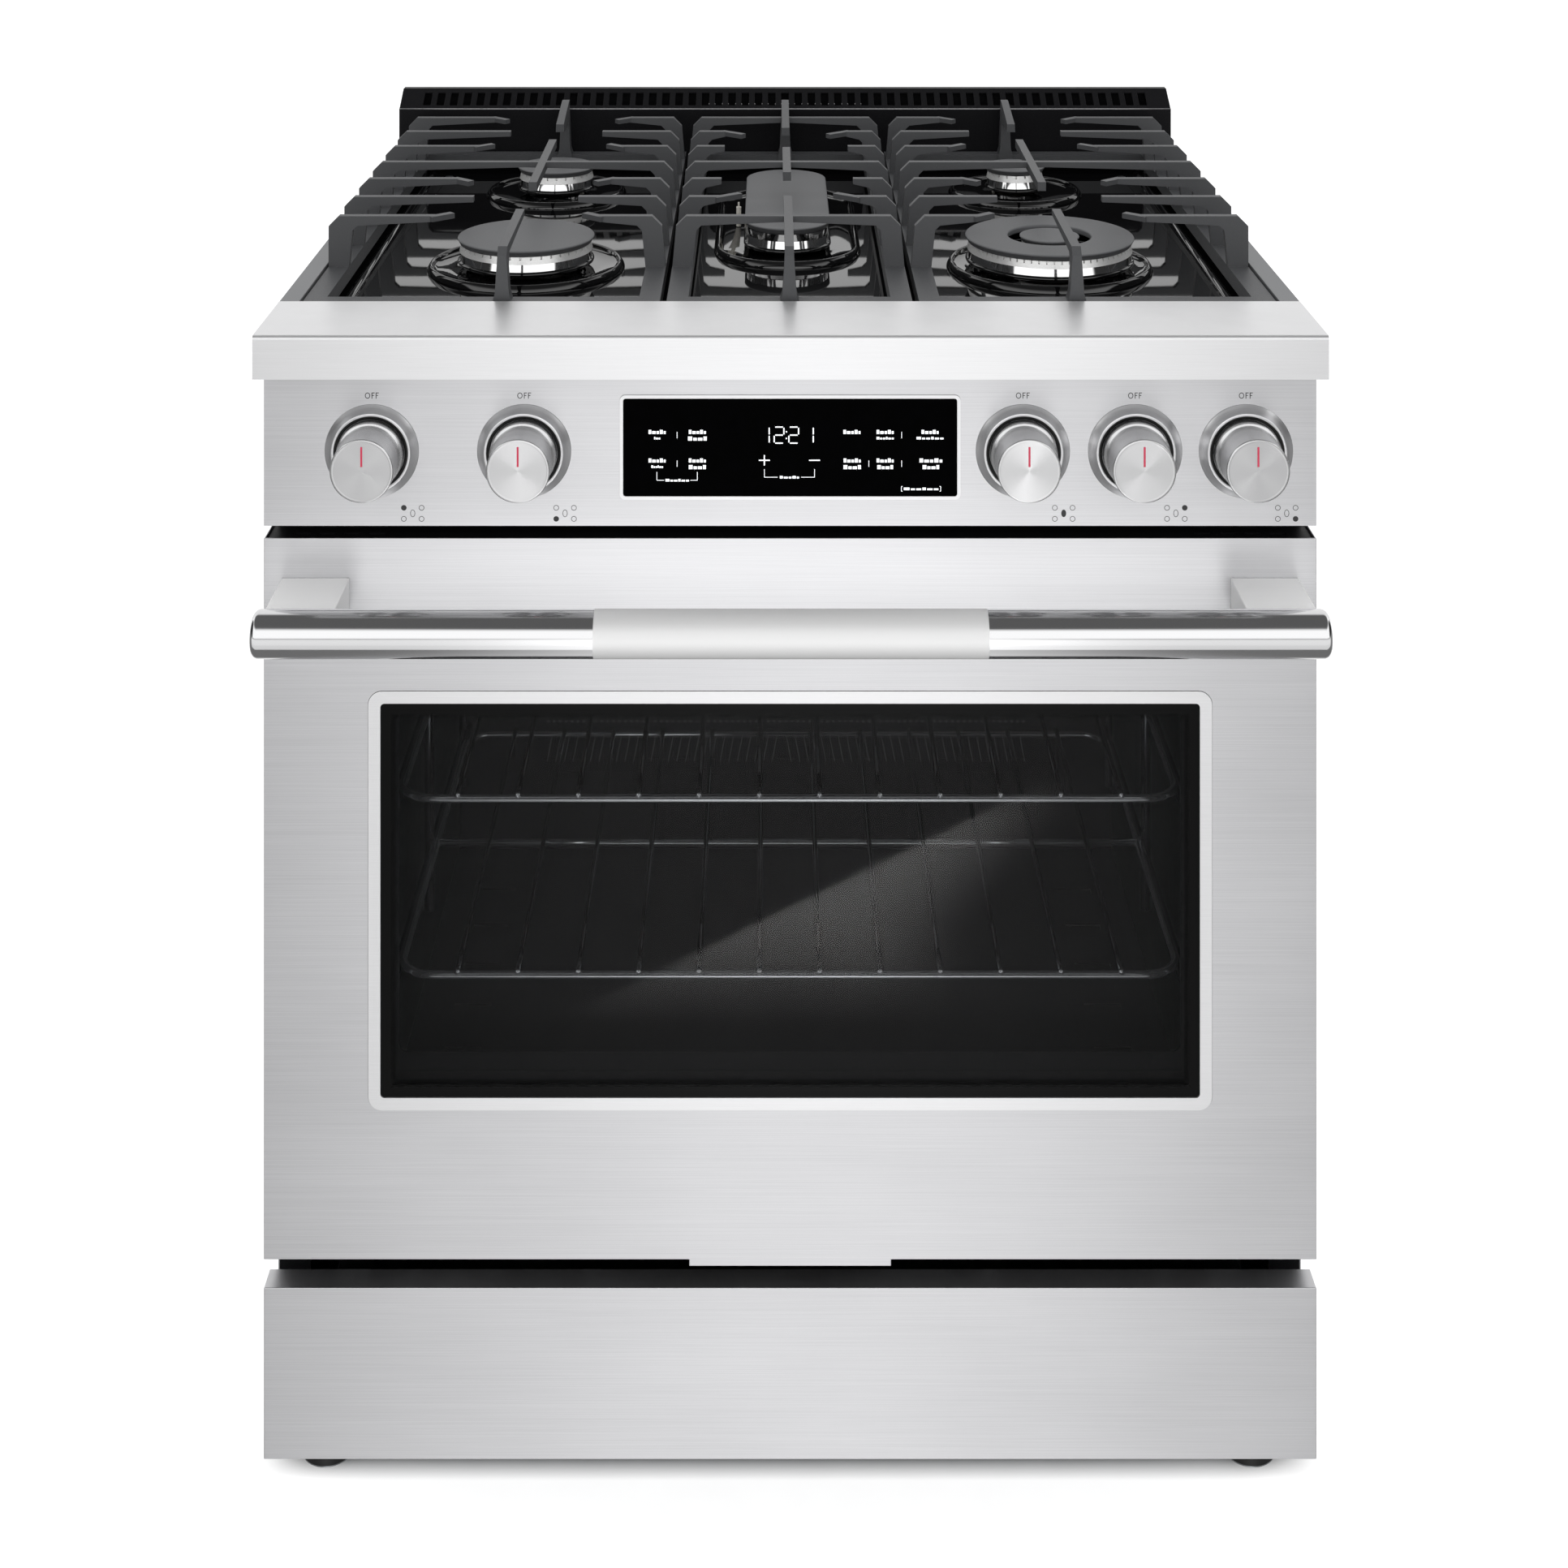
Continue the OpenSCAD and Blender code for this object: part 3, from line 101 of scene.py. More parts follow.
# %% Camera
EYE_BACK = 1.660
EYE_UP = 1.380
EYE_SIDE = -0.0138
FILM = 36.0
FOCAL = 52.7888
ASIDE = 0.2981
DOWN = 25.4534


def hang_camera():
    """Level view along +Y, whose film middle lies ASIDE and DOWN mm from the eye's level line, by a shear."""
    data = bpy.data.cameras.new("camera")
    camera = bpy.data.objects.new("camera", data)
    holder = bpy.data.objects.new("camera_holder", None)
    for thing in (camera, holder):
        bpy.context.scene.collection.objects.link(thing)
    sight = np.array([ASIDE, FOCAL, -DOWN])
    reach = float(np.linalg.norm(sight))
    back = [float(-part / reach) for part in sight]
    camera.parent = holder
    camera.matrix_parent_inverse = Matrix([[1, 0, back[0], 0], [0, 0, back[1], 0], [0, 1, back[2], 0],
                                           [0, 0, 0, 1]])
    holder.location = (EYE_SIDE, float(face_y) - EYE_BACK, EYE_UP)
    data.sensor_width = FILM
    data.lens = reach
    data.clip_start, data.clip_end = 0.05, 60.0
    bpy.context.scene.camera = camera
    return camera


print("lens", round(hang_camera().data.lens, 2), "mm")

# %% [markdown]
# ## Colour and node helpers
#
# Hex colours are written as they look on a screen and are turned to linear light once, here. One helper
# adds a shader node with its settings and links, which keeps each material short enough to read.

# %% Colours and nodes
ABSOLUTE = {"operation": "ABSOLUTE"}
MINUS = {"operation": "SUBTRACT"}
TIMES = {"operation": "MULTIPLY"}
TIMES_PLUS = {"operation": "MULTIPLY_ADD"}
LARGER = {"operation": "MAXIMUM"}
SMOOTH = {"interpolation_type": "SMOOTHSTEP"}
FLOAT_MIX = {"data_type": "FLOAT"}


def linear(hex_colour, alpha=1.0):
    """sRGB hex to linear: c / 12.92 under 0.04045, else ((c + 0.055) / 1.055) to the power 2.4."""
    text = hex_colour.lstrip("#")
    parts = np.array([int(text[i:i + 2], 16) for i in (0, 2, 4)]) / 255
    light = np.where(parts <= 0.04045, parts / 12.92, ((parts + 0.055) / 1.055) ** 2.4)
    return (*map(float, light), alpha)


def plug(tree, source, node, name):
    """Links a node's first output, or one of its sockets, to an input of another node."""
    if isinstance(source, bpy.types.Node):
        source = source.outputs[0]
    tree.links.new(source, node.inputs[name])


def add(tree, kind, settings=None, **links):
    """Adds a node of that kind; links give inputs, by name or as i0, i1, a node, a socket or a constant.

    The setting called stops gives the two ends of a colour ramp, each as a position and a hex colour.
    """
    node = tree.nodes.new("ShaderNode" + kind)
    for key, value in (settings or {}).items():
        if key == "stops":
            for element, (position, colour) in zip(node.color_ramp.elements, value):
                element.position, element.color = position, linear(colour)
        else:
            setattr(node, key, value)
    for key, value in links.items():
        name = int(key[1:]) if key[0] == "i" and key[1:].isdigit() else key.replace("_", " ")
        if isinstance(value, (bpy.types.Node, bpy.types.NodeSocket)):
            plug(tree, value, node, name)
        else:
            node.inputs[name].default_value = value
    return node


print("white in linear light:", linear("#ffffff"))

# %% Materials, places and tones


def empty_material(name):
    """A node material that holds only its output."""
    made = bpy.data.materials.new(name)
    made.use_nodes = True
    made.node_tree.nodes.clear()
    return made, made.node_tree, made.node_tree.nodes.new("ShaderNodeOutputMaterial")


def material(name, **surface):
    """A node material with a Principled BSDF whose constant inputs are given by name."""
    made, tree, output = empty_material(name)
    shader = add(tree, "BsdfPrincipled", **surface)
    plug(tree, shader, output, "Surface")
    return made, tree, shader


def place(tree, scale=(1.0, 1.0, 1.0)):
    """Object coordinates stretched by a Mapping node, for grain that runs one way."""
    return add(tree, "Mapping", Vector=add(tree, "TexCoord").outputs["Object"], Scale=scale)


def tones(dark_hex, light_hex, start=0.3, end=0.7):
    """Settings of a colour ramp from a dark to a light tone between two positions."""
    return {"stops": ((start, dark_hex), (end, light_hex))}


def across(reach, ends=(0.0, 1.0)):
    """Inputs of a range map that takes a value from one of ends to the other as it crosses reach."""
    return {"From_Min": reach[0], "From_Max": reach[1], "To_Min": ends[0], "To_Max": ends[1]}


def grained(tree, shader, texture, rough, depth, strength):
    """A texture drives roughness between two values and raises a bump of that depth in metres."""
    plug(tree, add(tree, "MapRange", Value=texture, To_Min=rough[0], To_Max=rough[1]), shader, "Roughness")
    plug(tree, add(tree, "Bump", Height=texture, Distance=depth, Strength=strength), shader, "Normal")


def mottled(name, light_hex, dark_hex, grain, detail=2.0, stretch=(1.0, 1.0, 1.0), **surface):
    """A material whose colour wanders between two tones with one noise of that grain per metre."""
    made, tree, shader = material(name, **surface)
    noise = add(tree, "TexNoise", Vector=place(tree, stretch), Scale=grain, Detail=detail)
    plug(tree, add(tree, "ValToRGB", tones(dark_hex, light_hex), Fac=noise), shader, "Base Color")
    return made, tree, shader, noise


print("tones of a ramp:", tones("#000000", "#ffffff"))

# %% [markdown]
# ## Brushed stainless sheet
#
# The door, the control panel and the drawer front are type 430 stainless, brushed sideways with an abrasive
# belt. The belt leaves scratches a few hundredths of a millimetre wide and several centimetres long, so
# highlights spread up and down but keep their shape sideways: an anisotropic metal, with its grain drawn a
# little coarser than life so that it shows. Faint broad clouds stand for the rolled sheet under the grain.

# %% Brushed steel
SHEET_GRAIN = (9.0, 9.0, 2200.0)
FINE_GRAIN = (20.0, 20.0, 3080.0)
CLOUD = 5.0
TONE_REACH = (0.45, 1.05)


def brushed_steel(name, light_hex, dark_hex, rough, grain=FINE_GRAIN, metal=1.0):
    """Metal with streaks along X: noise squeezed to fractions of a millimetre across the grain."""
    made, tree, shader = material(
        name, Metallic=metal, Anisotropic=0.55, Anisotropic_Rotation=0.25, Roughness=rough)
    plug(tree, add(tree, "CombineXYZ", X=1.0), shader, "Tangent")
    streak = add(tree, "TexNoise", Vector=place(tree, grain), Scale=1.0, Detail=4.0, Roughness=0.65)
    cloud = add(tree, "TexNoise", Vector=place(tree, (1, 1, 2.5)), Scale=CLOUD, Detail=2.0)
    both = add(tree, "Math", TIMES_PLUS, i0=cloud, i1=0.45, i2=streak)
    share = add(tree, "MapRange", Value=both, **across(TONE_REACH))
    tone = add(tree, "ValToRGB", tones(dark_hex, light_hex, 0.0, 1.0), Fac=share)
    plug(tree, tone, shader, "Base Color")
    grained(tree, shader, streak, (rough - 0.05, rough + 0.06), 0.02 * MM, 0.35)
    return made


steel_sheet = brushed_steel("stainless_430_brushed", "#e2e2e4", "#cfcfd1", 0.36, SHEET_GRAIN)
steel_trim = brushed_steel("stainless_430_fine_brushed", "#f4f4f5", "#eaeaeb", 0.36, metal=0.8)
# The handle posts get a lit copy of the steel: nearly white and barely metal, which paints their tops bright.
post_steel_lit_copy = brushed_steel("stainless_bracket_lit_copy", "#fefefe", "#f8f8f8", 0.42, metal=0.1)
steel_side = brushed_steel("stainless_430_satin_edge", "#868789", "#78797b", 0.38, SHEET_GRAIN, metal=0.6)
print("steel:", steel_sheet.name, steel_trim.name, post_steel_lit_copy.name, steel_side.name)

# %% [markdown]
# ## Handle tube
#
# The handle is a 304 tube, centreless ground and polished. Its middle is bead blasted, so that it doesn't
# show fingers: the same metal with a much rougher face. The change comes from the distance to the middle.

# %% Polished tube with a blasted grip
GRIP_HALF = 0.136
GRIP_FADE = 0.0006


def handle_metal():
    """Roughness steps from blasted to polished at GRIP_HALF from the middle."""
    made, tree, shader = material("stainless_304_polished_tube", Metallic=1.0)
    away = add(tree, "Math", ABSOLUTE, i0=add(tree, "SeparateXYZ", Vector=place(tree)))
    polished = add(tree, "MapRange", Value=away, **across((GRIP_HALF, GRIP_HALF + GRIP_FADE)))
    for name, ends in (("Roughness", (0.58, 0.13)), ("Metallic", (0.45, 1.0))):
        plug(tree, add(tree, "MapRange", Value=polished, To_Min=ends[0], To_Max=ends[1]), shader, name)
    tone = add(tree, "ValToRGB", tones("#ececec", "#dcdcdd", 0.0, 1.0), Fac=polished)
    plug(tree, tone, shader, "Base Color")
    line = add(tree, "TexNoise", Vector=place(tree, (6.0, 900.0, 900.0)), Scale=1.0, Detail=3.0)
    grit = add(tree, "TexNoise", Vector=place(tree), Scale=2600.0, Detail=2.0)
    face = add(tree, "Mix", FLOAT_MIX, i0=polished, i2=grit, i3=line)
    plug(tree, add(tree, "Bump", Height=face, Distance=0.02 * MM, Strength=0.3), shader, "Normal")
    return made


handle_tube = handle_metal()
print("handle:", handle_tube.name)

# %% [markdown]
# ## Enamels and black paint
#
# The pan and the burner bowls are porcelain enamel: glass fused on steel, deep black and glossy, with a
# slight orange peel. The grates and caps carry a matt enamel over rough cast metal, which looks dark grey
# where it faces the light. The oven wears a dark speckled enamel, and the vent a satin black paint.

# %% Enamels
PEEL = 140.0
CAST_GRAIN = 900.0


def enamel(name, tone_hex, fleck_hex, rough, peel, grain=PEEL, ior=1.5):
    """Dielectric glaze: noise gives the peel and a fine second noise the flecks."""
    made, tree, shader = material(name, Roughness=rough, IOR=ior)
    wave = add(tree, "TexNoise", Vector=place(tree), Scale=grain, Detail=3.0)
    fleck = add(tree, "TexNoise", Vector=place(tree), Scale=grain * 6.0, Detail=2.0)
    tone = add(tree, "ValToRGB", tones(tone_hex, fleck_hex, 0.45, 0.75), Fac=fleck)
    plug(tree, tone, shader, "Base Color")
    grained(tree, shader, wave, (rough * 0.8, rough * 1.25), peel, 0.5)
    return made


pan_enamel = enamel("porcelain_enamel_gloss_black", "#0a0a0b", "#0e0e0f", 0.035, 0.004 * MM, ior=1.6)
bowl_enamel = enamel("porcelain_enamel_bowl", "#080809", "#0c0c0d", 0.03, 0.003 * MM, ior=1.7)
oven_enamel = enamel("porcelain_enamel_oven_speckled", "#1a1a1b", "#3c3c3e", 0.32, 0.03 * MM)
cap_enamel = enamel("matt_enamel_burner_cap", "#5a5b5d", "#626365", 0.50, 0.02 * MM, CAST_GRAIN)
grate_iron = enamel("cast_iron_matt_enamel", "#48494b", "#545557", 0.48, 0.08 * MM, CAST_GRAIN)
vent_paint = enamel("satin_black_paint", "#18181a", "#1e1e1f", 0.30, 0.01 * MM, ior=1.13)
side_paint = enamel("silver_grey_powder_coat", "#9c9d9f", "#a6a7a9", 0.42, 0.05 * MM, 500.0)
print("enamels ready")

# %% [markdown]
# ## Small metals
#
# Burner heads are die-cast aluminium. The racks' thinner wires are chrome plated, and their frames and wire
# tips wear a lit copy of the plating, pure white, which paints a brighter highlight on them. Brackets and
# slides are zinc plated and show the crystals of the coating, and valves are machined brass. One function
# covers these plain metals: a colour range, a roughness range and a grain size.

# %% Other metals


def plain_metal(name, light_hex, dark_hex, rough, grain, depth, metal=1.0):
    """Metal whose colour and roughness wander with one noise of the given grain per metre."""
    made, tree, shader, wander = mottled(name, light_hex, dark_hex, grain, 4.0, Metallic=metal,
                                         Roughness=rough)
    grained(tree, shader, wander, (rough * 0.75, rough * 1.3), depth, 0.4)
    return made


cast_aluminium = plain_metal("die_cast_aluminium", "#e2e2e0", "#c9c9c7", 0.22, 700.0, 0.03 * MM)
chrome_wire = plain_metal("chrome_plated_wire", "#a8a9ab", "#949598", 0.08, 300.0, 0.01 * MM)
# A lit copy of the plating: pure white, so the racks' frames and wire tips show painted, brighter highlights.
rack_rod_lit_copy = plain_metal("plated_rod_lit_copy", "#ffffff", "#f6f6f7", 0.11, 300.0, 0.01 * MM, metal=0.9)
zinc_plate = plain_metal("zinc_plated_steel", "#b6b9bb", "#989c9f", 0.36, 160.0, 0.01 * MM)
galvanised = plain_metal("hot_dip_galvanised_sheet", "#a9adb0", "#8b8f93", 0.42, 60.0, 0.01 * MM)
brass = plain_metal("machined_brass", "#c9a254", "#b48a3e", 0.25, 500.0, 0.01 * MM)
motor_can = plain_metal("pressed_steel_can", "#77797b", "#5e6062", 0.40, 200.0, 0.01 * MM)
print("metals ready")

# %% [markdown]
# ## Soft and moulded materials
#
# The glazed igniters, the plastic housing, the blanket of glass wool and the braided seal aren't metal, and
# share a second function. The blanket's fibres are drawn near a millimetre, far coarser than in glass wool.

# %% Moulded materials


def moulded(name, light_hex, dark_hex, rough, grain, depth, stretch=(1.0, 1.0, 1.0)):
    """Dielectric with one noise, stretched where the real thing has a direction."""
    made, tree, shader, body = mottled(name, light_hex, dark_hex, grain, 5.0, stretch, Roughness=rough)
    grained(tree, shader, body, (rough * 0.85, min(1.0, rough * 1.2)), depth, 0.7)
    return made


ceramic = moulded("glazed_alumina", "#efece4", "#ddd9cf", 0.18, 400.0, 0.01 * MM)
housing_plastic = moulded("moulded_abs_black", "#1d1e1f", "#151617", 0.45, 1500.0, 0.02 * MM)
glass_wool = moulded("glass_wool_blanket", "#d9cb92", "#b59f5c", 0.95, 260.0, 0.8 * MM, (1.0, 1.0, 3.0))
seal_braid = moulded("glass_fibre_braid", "#4c4d4f", "#2b2c2e", 0.85, 700.0, 0.4 * MM, (1.0, 1.0, 0.4))
print("moulded:", ceramic.name, glass_wool.name)

# %% [markdown]
# ## Glass
#
# The outer window is tinted and hard coated: it lets a little light through and mirrors the room. A thin
# sheet needs no refraction, so it mixes a dark transparent face with a clear gloss by Fresnel. The inner
# pane is the same without the tint, and the display is opaque black glass.

# %% Glass materials
FRIT = 0.011
FRIT_FADE = 0.004


def sheet_glass(name, tint_hex, mirror, border=None):
    """Transparent face with a thin Fresnel mirror, and a black border past border's half sizes."""
    made, tree, output = empty_material(name)
    haze = add(tree, "TexNoise", Vector=place(tree), Scale=18.0, Detail=2.0)
    deep = add(tree, "MapRange", Value=haze, To_Min=0.96, To_Max=1.0)
    tone = add(tree, "Mix", {"data_type": "RGBA", "blend_type": "MULTIPLY"}, i0=1.0, i6=linear(tint_hex),
               i7=deep)
    clear = add(tree, "BsdfTransparent", Color=tone.outputs[2])
    gloss = add(tree, "BsdfGlossy", Color=linear("#ffffff"), Roughness=0.02)
    share = add(tree, "Math", TIMES, i0=add(tree, "Fresnel", IOR=1.5), i1=mirror)
    face = add(tree, "MixShader", i0=share, i1=clear, i2=gloss)
    if border:
        mid_z, half_x, half_z = border
        split = add(tree, "SeparateXYZ", Vector=place(tree))
        lift = add(tree, "Math", MINUS, i0=split.outputs["Z"], i1=mid_z)
        past = [add(tree, "MapRange", Value=add(tree, "Math", ABSOLUTE, i0=way),
                    **across((half, half + FRIT_FADE))) for way, half in ((split, half_x), (lift, half_z))]
        outside = add(tree, "Math", LARGER, i0=past[0], i1=past[1])
        frit = add(tree, "BsdfPrincipled", Base_Color=linear("#060606"), Roughness=0.2,
                   Specular_IOR_Level=0.1)
        face = add(tree, "MixShader", i0=outside, i1=face, i2=frit)
    plug(tree, face, output, "Surface")
    return made


pane_low, pane_high = low("door_window"), high("door_window")
window_border = (float(pane_low[2] + pane_high[2]) / 2, float(pane_high[0]) - FRIT,
                 float(pane_high[2] - pane_low[2]) / 2 - FRIT)
window_glass = sheet_glass("tinted_tempered_glass", "#eeeeef", 0.11, window_border)
inner_glass = sheet_glass("clear_tempered_glass", "#f8f9f9", 0.05)
black_glass = mottled("black_back_printed_glass", "#020203", "#010101", 120.0, Roughness=0.06,
                      Specular_IOR_Level=0.008)[0]
print("glass:", window_glass.name, inner_glass.name, black_glass.name)

# %% [markdown]
# ## Dressing the frame
#
# Most CAD pieces already have the right shape. They take their material by the slot that the record gives
# them, so that one table dresses every node, and pieces made later replace some of them.

# %% Materials by slot
finishes = {
    "stainless": steel_sheet, "stainless_trim": steel_trim, "handle_steel": handle_tube,
    "knob_metal": cast_aluminium, "side_paint": side_paint, "galvanised": galvanised,
    "cavity_enamel": oven_enamel, "pan_enamel": pan_enamel, "cap_enamel": cap_enamel,
    "vent_black": vent_paint, "cast_iron": grate_iron, "burner_metal": cast_aluminium,
    "chrome_wire": chrome_wire, "steel": zinc_plate, "brass": brass, "gas_tube": cast_aluminium,
    "window_glass": window_glass, "inner_glass": inner_glass, "display_glass": black_glass,
    "plastic": housing_plastic, "ceramic": ceramic, "insulation": glass_wool, "gasket": seal_braid,
    "motor": motor_can,
}


def dress(thing, finish):
    """Gives an object one material."""
    thing.data.materials.clear()
    thing.data.materials.append(finish)


for node, thing in nodes.items():
    dress(thing, finishes[slot_of[node]])
# Handle posts in the lit copy of the steel, which paints them bright.
dress(nodes["handle_standoffs"], post_steel_lit_copy)
dress(nodes["cooktop_trims"], steel_side)
dress(nodes["burner_bases"], bowl_enamel)
print("dressed", len(nodes), "nodes")

# %% [markdown]
# ## Making pieces
#
# A computed piece is a grid of points: rows run along the shape and columns run round it. Faces join each
# point to its neighbours, and a closed grid joins its last column to its first. Whole arrays go into the
# mesh at once. Where the points of a grid meet, as at a pole, they are merged to close the skin.

# %% From arrays to a piece


def close_skin(thing, reach):
    """Merges doubled points, such as poles, and makes the normals point outwards."""
    work = bmesh.new()
    work.from_mesh(thing.data)
    bmesh.ops.remove_doubles(work, verts=work.verts, dist=reach)
    bmesh.ops.dissolve_degenerate(work, edges=work.edges, dist=reach)
    bmesh.ops.recalc_face_normals(work, faces=work.faces)
    work.to_mesh(thing.data)
    work.free()


def build(name, grid, finish, node, smooth=True, seam=0.0, instead=False, crease=None):
    """A piece from (points, faces) with a material, on the body of a CAD node.

    seam is the reach in metres that merges its points, instead says that it stands for the node, and crease
    is the angle in degrees at which smooth shading stops.
    """
    points, faces = grid
    mesh = bpy.data.meshes.new(name)
    mesh.from_pydata(np.asarray(points, float).reshape(-1, 3).tolist(), [],
                     [list(map(int, face)) for face in faces])
    mesh.update()
    made = bpy.data.objects.new(name, mesh)
    bpy.context.scene.collection.objects.link(made)
    mesh.polygons.foreach_set("use_smooth", np.full(len(mesh.polygons), smooth))
    dress(made, finish)
    if seam:
        close_skin(made, seam)
    if crease:
        mesh.set_sharp_from_angle(angle=math.radians(crease))
    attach(made, body_of[node])
    if instead:
        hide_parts(node)
    return made


print("nodes that a piece can stand for:", len(nodes))

# %% Grids and turned profiles


def grid_faces(rows, columns):
    """Quads of a rows x columns grid whose last column joins its first."""
    i, j = np.meshgrid(np.arange(rows - 1), np.arange(columns), indexing="ij")
    k = (j + 1) % columns
    quads = [i * columns + j, i * columns + k, (i + 1) * columns + k, (i + 1) * columns + j]
    return np.stack(quads, axis=-1).reshape(-1, 4)


def turned(profile, middle, axis, steps=96):
    """Revolves (radius, distance) pairs about an axis through middle: p = middle + d*axis + r*(cos, sin)."""
    profile = np.asarray(profile, float)
    angle = np.linspace(0, 2 * np.pi, steps, endpoint=False)
    sides = {"z": ((1, 0, 0), (0, 1, 0), (0, 0, 1)), "-y": ((1, 0, 0), (0, 0, 1), (0, -1, 0)),
             "x": ((0, 1, 0), (0, 0, 1), (1, 0, 0))}
    a, b, n = (np.array(v, float) for v in sides[axis])
    ring = np.cos(angle)[:, None] * a + np.sin(angle)[:, None] * b
    points = np.asarray(middle) + profile[:, 1, None, None] * n + profile[:, 0, None, None] * ring
    return points, grid_faces(len(profile), steps)


print("faces of a ring of 96 by 2 points:", len(grid_faces(2, 96)))

# %% Tubes and joined parts


def tube_along(path, radius, sides):
    """A tube round a path of points: each ring lies across the path there, and a point closes each end."""
    path = np.asarray(path, float)
    ahead = np.gradient(path, axis=0)
    ahead /= np.linalg.norm(ahead, axis=1)[:, None]
    lead = np.array([0, 0, 1.0]) if abs(ahead[0][2]) < 0.9 else np.array([1.0, 0, 0])
    side = np.cross(ahead, lead)
    side /= np.linalg.norm(side, axis=1)[:, None]
    up = np.cross(side, ahead)
    angle = np.linspace(0, 2 * np.pi, sides, endpoint=False)
    ring = np.cos(angle)[None, :, None] * side[:, None] + np.sin(angle)[None, :, None] * up[:, None]
    ends = [np.repeat(end, sides, axis=1) for end in (path[:1, None], path[-1:, None])]
    points = np.concatenate([ends[0], path[:, None] + radius * ring, ends[1]])
    return points, grid_faces(len(points), sides)[:, ::-1]


def join_parts(parts, scale=1.0):
    """Stacks several (points, faces) pairs into one, with the points multiplied by scale."""
    points, faces, count = [], [], 0
    for some_points, some_faces in parts:
        flat = np.asarray(some_points, float).reshape(-1, 3)
        faces += [[int(k) + count for k in face] for face in some_faces]
        points.append(flat * scale)
        count += len(flat)
    return np.concatenate(points), faces


print("rings of a tube through 3 points:", len(tube_along([(0, 0, 0), (1, 0, 0), (2, 0, 0)], 0.1, 8)[0]))

# %% [markdown]
# ## Soft edges on sheet and cast pieces
#
# No real edge is perfectly sharp. Bent sheet has a radius near its own thickness, and cast iron is rounded
# by its mould. A merged copy of the CAD mesh gets a Bevel modifier that only works on sharp edges, and the
# copy stands for the node.

# %% Bevelled copies


def soften(node, radius_mm, steps=3, angle=30.0):
    """A merged copy of a node with its sharp edges rounded, which replaces the node."""
    copy = nodes[node].copy()
    copy.data = nodes[node].data.copy()
    for key in [k for k in copy.keys() if k.startswith("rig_")]:
        del copy[key]
    copy.parent = None
    copy.name = f"{node}_formed"
    bpy.context.scene.collection.objects.link(copy)
    for leftover in ("custom_normal", "sharp_edge", "sharp_face"):
        if leftover in copy.data.attributes:
            copy.data.attributes.remove(copy.data.attributes[leftover])
    work = bmesh.new()
    work.from_mesh(copy.data)
    bmesh.ops.remove_doubles(work, verts=work.verts, dist=2e-6)
    bmesh.ops.dissolve_limit(work, angle_limit=math.radians(1.0), verts=work.verts, edges=work.edges)
    bmesh.ops.triangulate(work, faces=[f for f in work.faces if len(f.verts) > 4])
    work.to_mesh(copy.data)
    work.free()
    copy.data.polygons.foreach_set("use_smooth", np.ones(len(copy.data.polygons), bool))
    bevel = copy.modifiers.new("edge", "BEVEL")
    bevel.width = radius_mm * MM
    bevel.segments = steps
    bevel.limit_method = "ANGLE"
    bevel.angle_limit = math.radians(angle)
    bevel.face_strength_mode = "FSTR_ALL"
    copy.modifiers.new("even", "WEIGHTED_NORMAL").use_face_influence = True
    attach(copy, body_of[node])
    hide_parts(node)


edge_radii = {
    "front_rail": 1.6, "drawer_front": 0.9, "cooktop_trims": 1.0, "vent_trim": 0.8,
    "handle_standoffs": 1.0, "left_grate": 1.6, "centre_grate": 1.6, "right_grate": 1.6,
    "door_skin": 0.5, "window_trim": 0.5, "display_bezel": 0.4, "left_side_panel": 0.5,
    "right_side_panel": 0.5, "drawer_tub": 0.5, "fan_cover": 0.5,
}
for node, radius in edge_radii.items():
    soften(node, radius)
print("bevelled", len(edge_radii), "nodes")

# %% [markdown]
# ## Knobs and their rings
#
# A knob is turned from solid aluminium: a skirt, a groove, a plain grip and a face cut with one fine spiral.
# The spiral makes the highlight a bow tie that stays put while the knob turns, so the metal is anisotropic
# about the knob's own axis. The ring behind it is a polished cone with a bright lip, and a black ring between
# the two is painted shade in the gap.

# %% Turned metal
CUT_LINES = 4500.0


def turned_metal(name, axis_at, rough, twist, light_hex, dark_hex):
    """Metal with fine rings about an axis along Y through axis_at, and a radial tangent."""
    made, tree, shader = material(name, Metallic=1.0, Anisotropic=twist, Anisotropic_Rotation=0.25)
    plug(tree, add(tree, "Tangent", {"direction_type": "RADIAL", "axis": "Y"}), shader, "Tangent")
    off = add(tree, "VectorMath", MINUS, i0=place(tree), i1=tuple(map(float, axis_at)))
    flat = add(tree, "VectorMath", TIMES, i0=off, i1=(1.0, 0.0, 1.0))
    radius = add(tree, "VectorMath", {"operation": "LENGTH"}, i0=flat).outputs["Value"]
    rings = add(tree, "TexNoise", {"noise_dimensions": "1D"}, W=radius, Scale=CUT_LINES, Detail=2.0)
    plug(tree, add(tree, "ValToRGB", tones(dark_hex, light_hex), Fac=rings), shader, "Base Color")
    grained(tree, shader, rings, (rough * 0.85, rough * 1.2), 0.01 * MM, 0.3)
    return made


marker_red = mottled("epoxy_ink_red", "#e04a68", "#d3304f", 900.0, Roughness=0.4)[0]
groove_black = mottled("anodised_black_groove", "#2a2a2b", "#1c1c1d", 700.0, Roughness=0.5,
                       Metallic=0.6)[0]
# Black for the ring that fills the gap between each knob and its ring: painted shade.
gap_shade_black = moulded("black_painted_gap_shade", "#141414", "#0d0d0d", 0.6, 900.0, 0.01 * MM)
print("knob finishes ready")

# %% Knobs
KNOBS = range(1, 6)
ARC_STEPS = 5
GRIP_IN = 1.5
SKIRT_TALL = 8.3
MARKER_HALF = 0.7
MARKER_LOW = 3.2
MARKER_HIGH = 17.2
MARKER_DEEP = 0.1


def rounded(corner_r, corner_d, size, start, end):
    """Points of an arc of that size from start to end degrees about (corner_r, corner_d)."""
    angle = np.radians(np.linspace(start, end, ARC_STEPS))
    return [(corner_r + size * math.cos(a), corner_d + size * math.sin(a)) for a in angle]


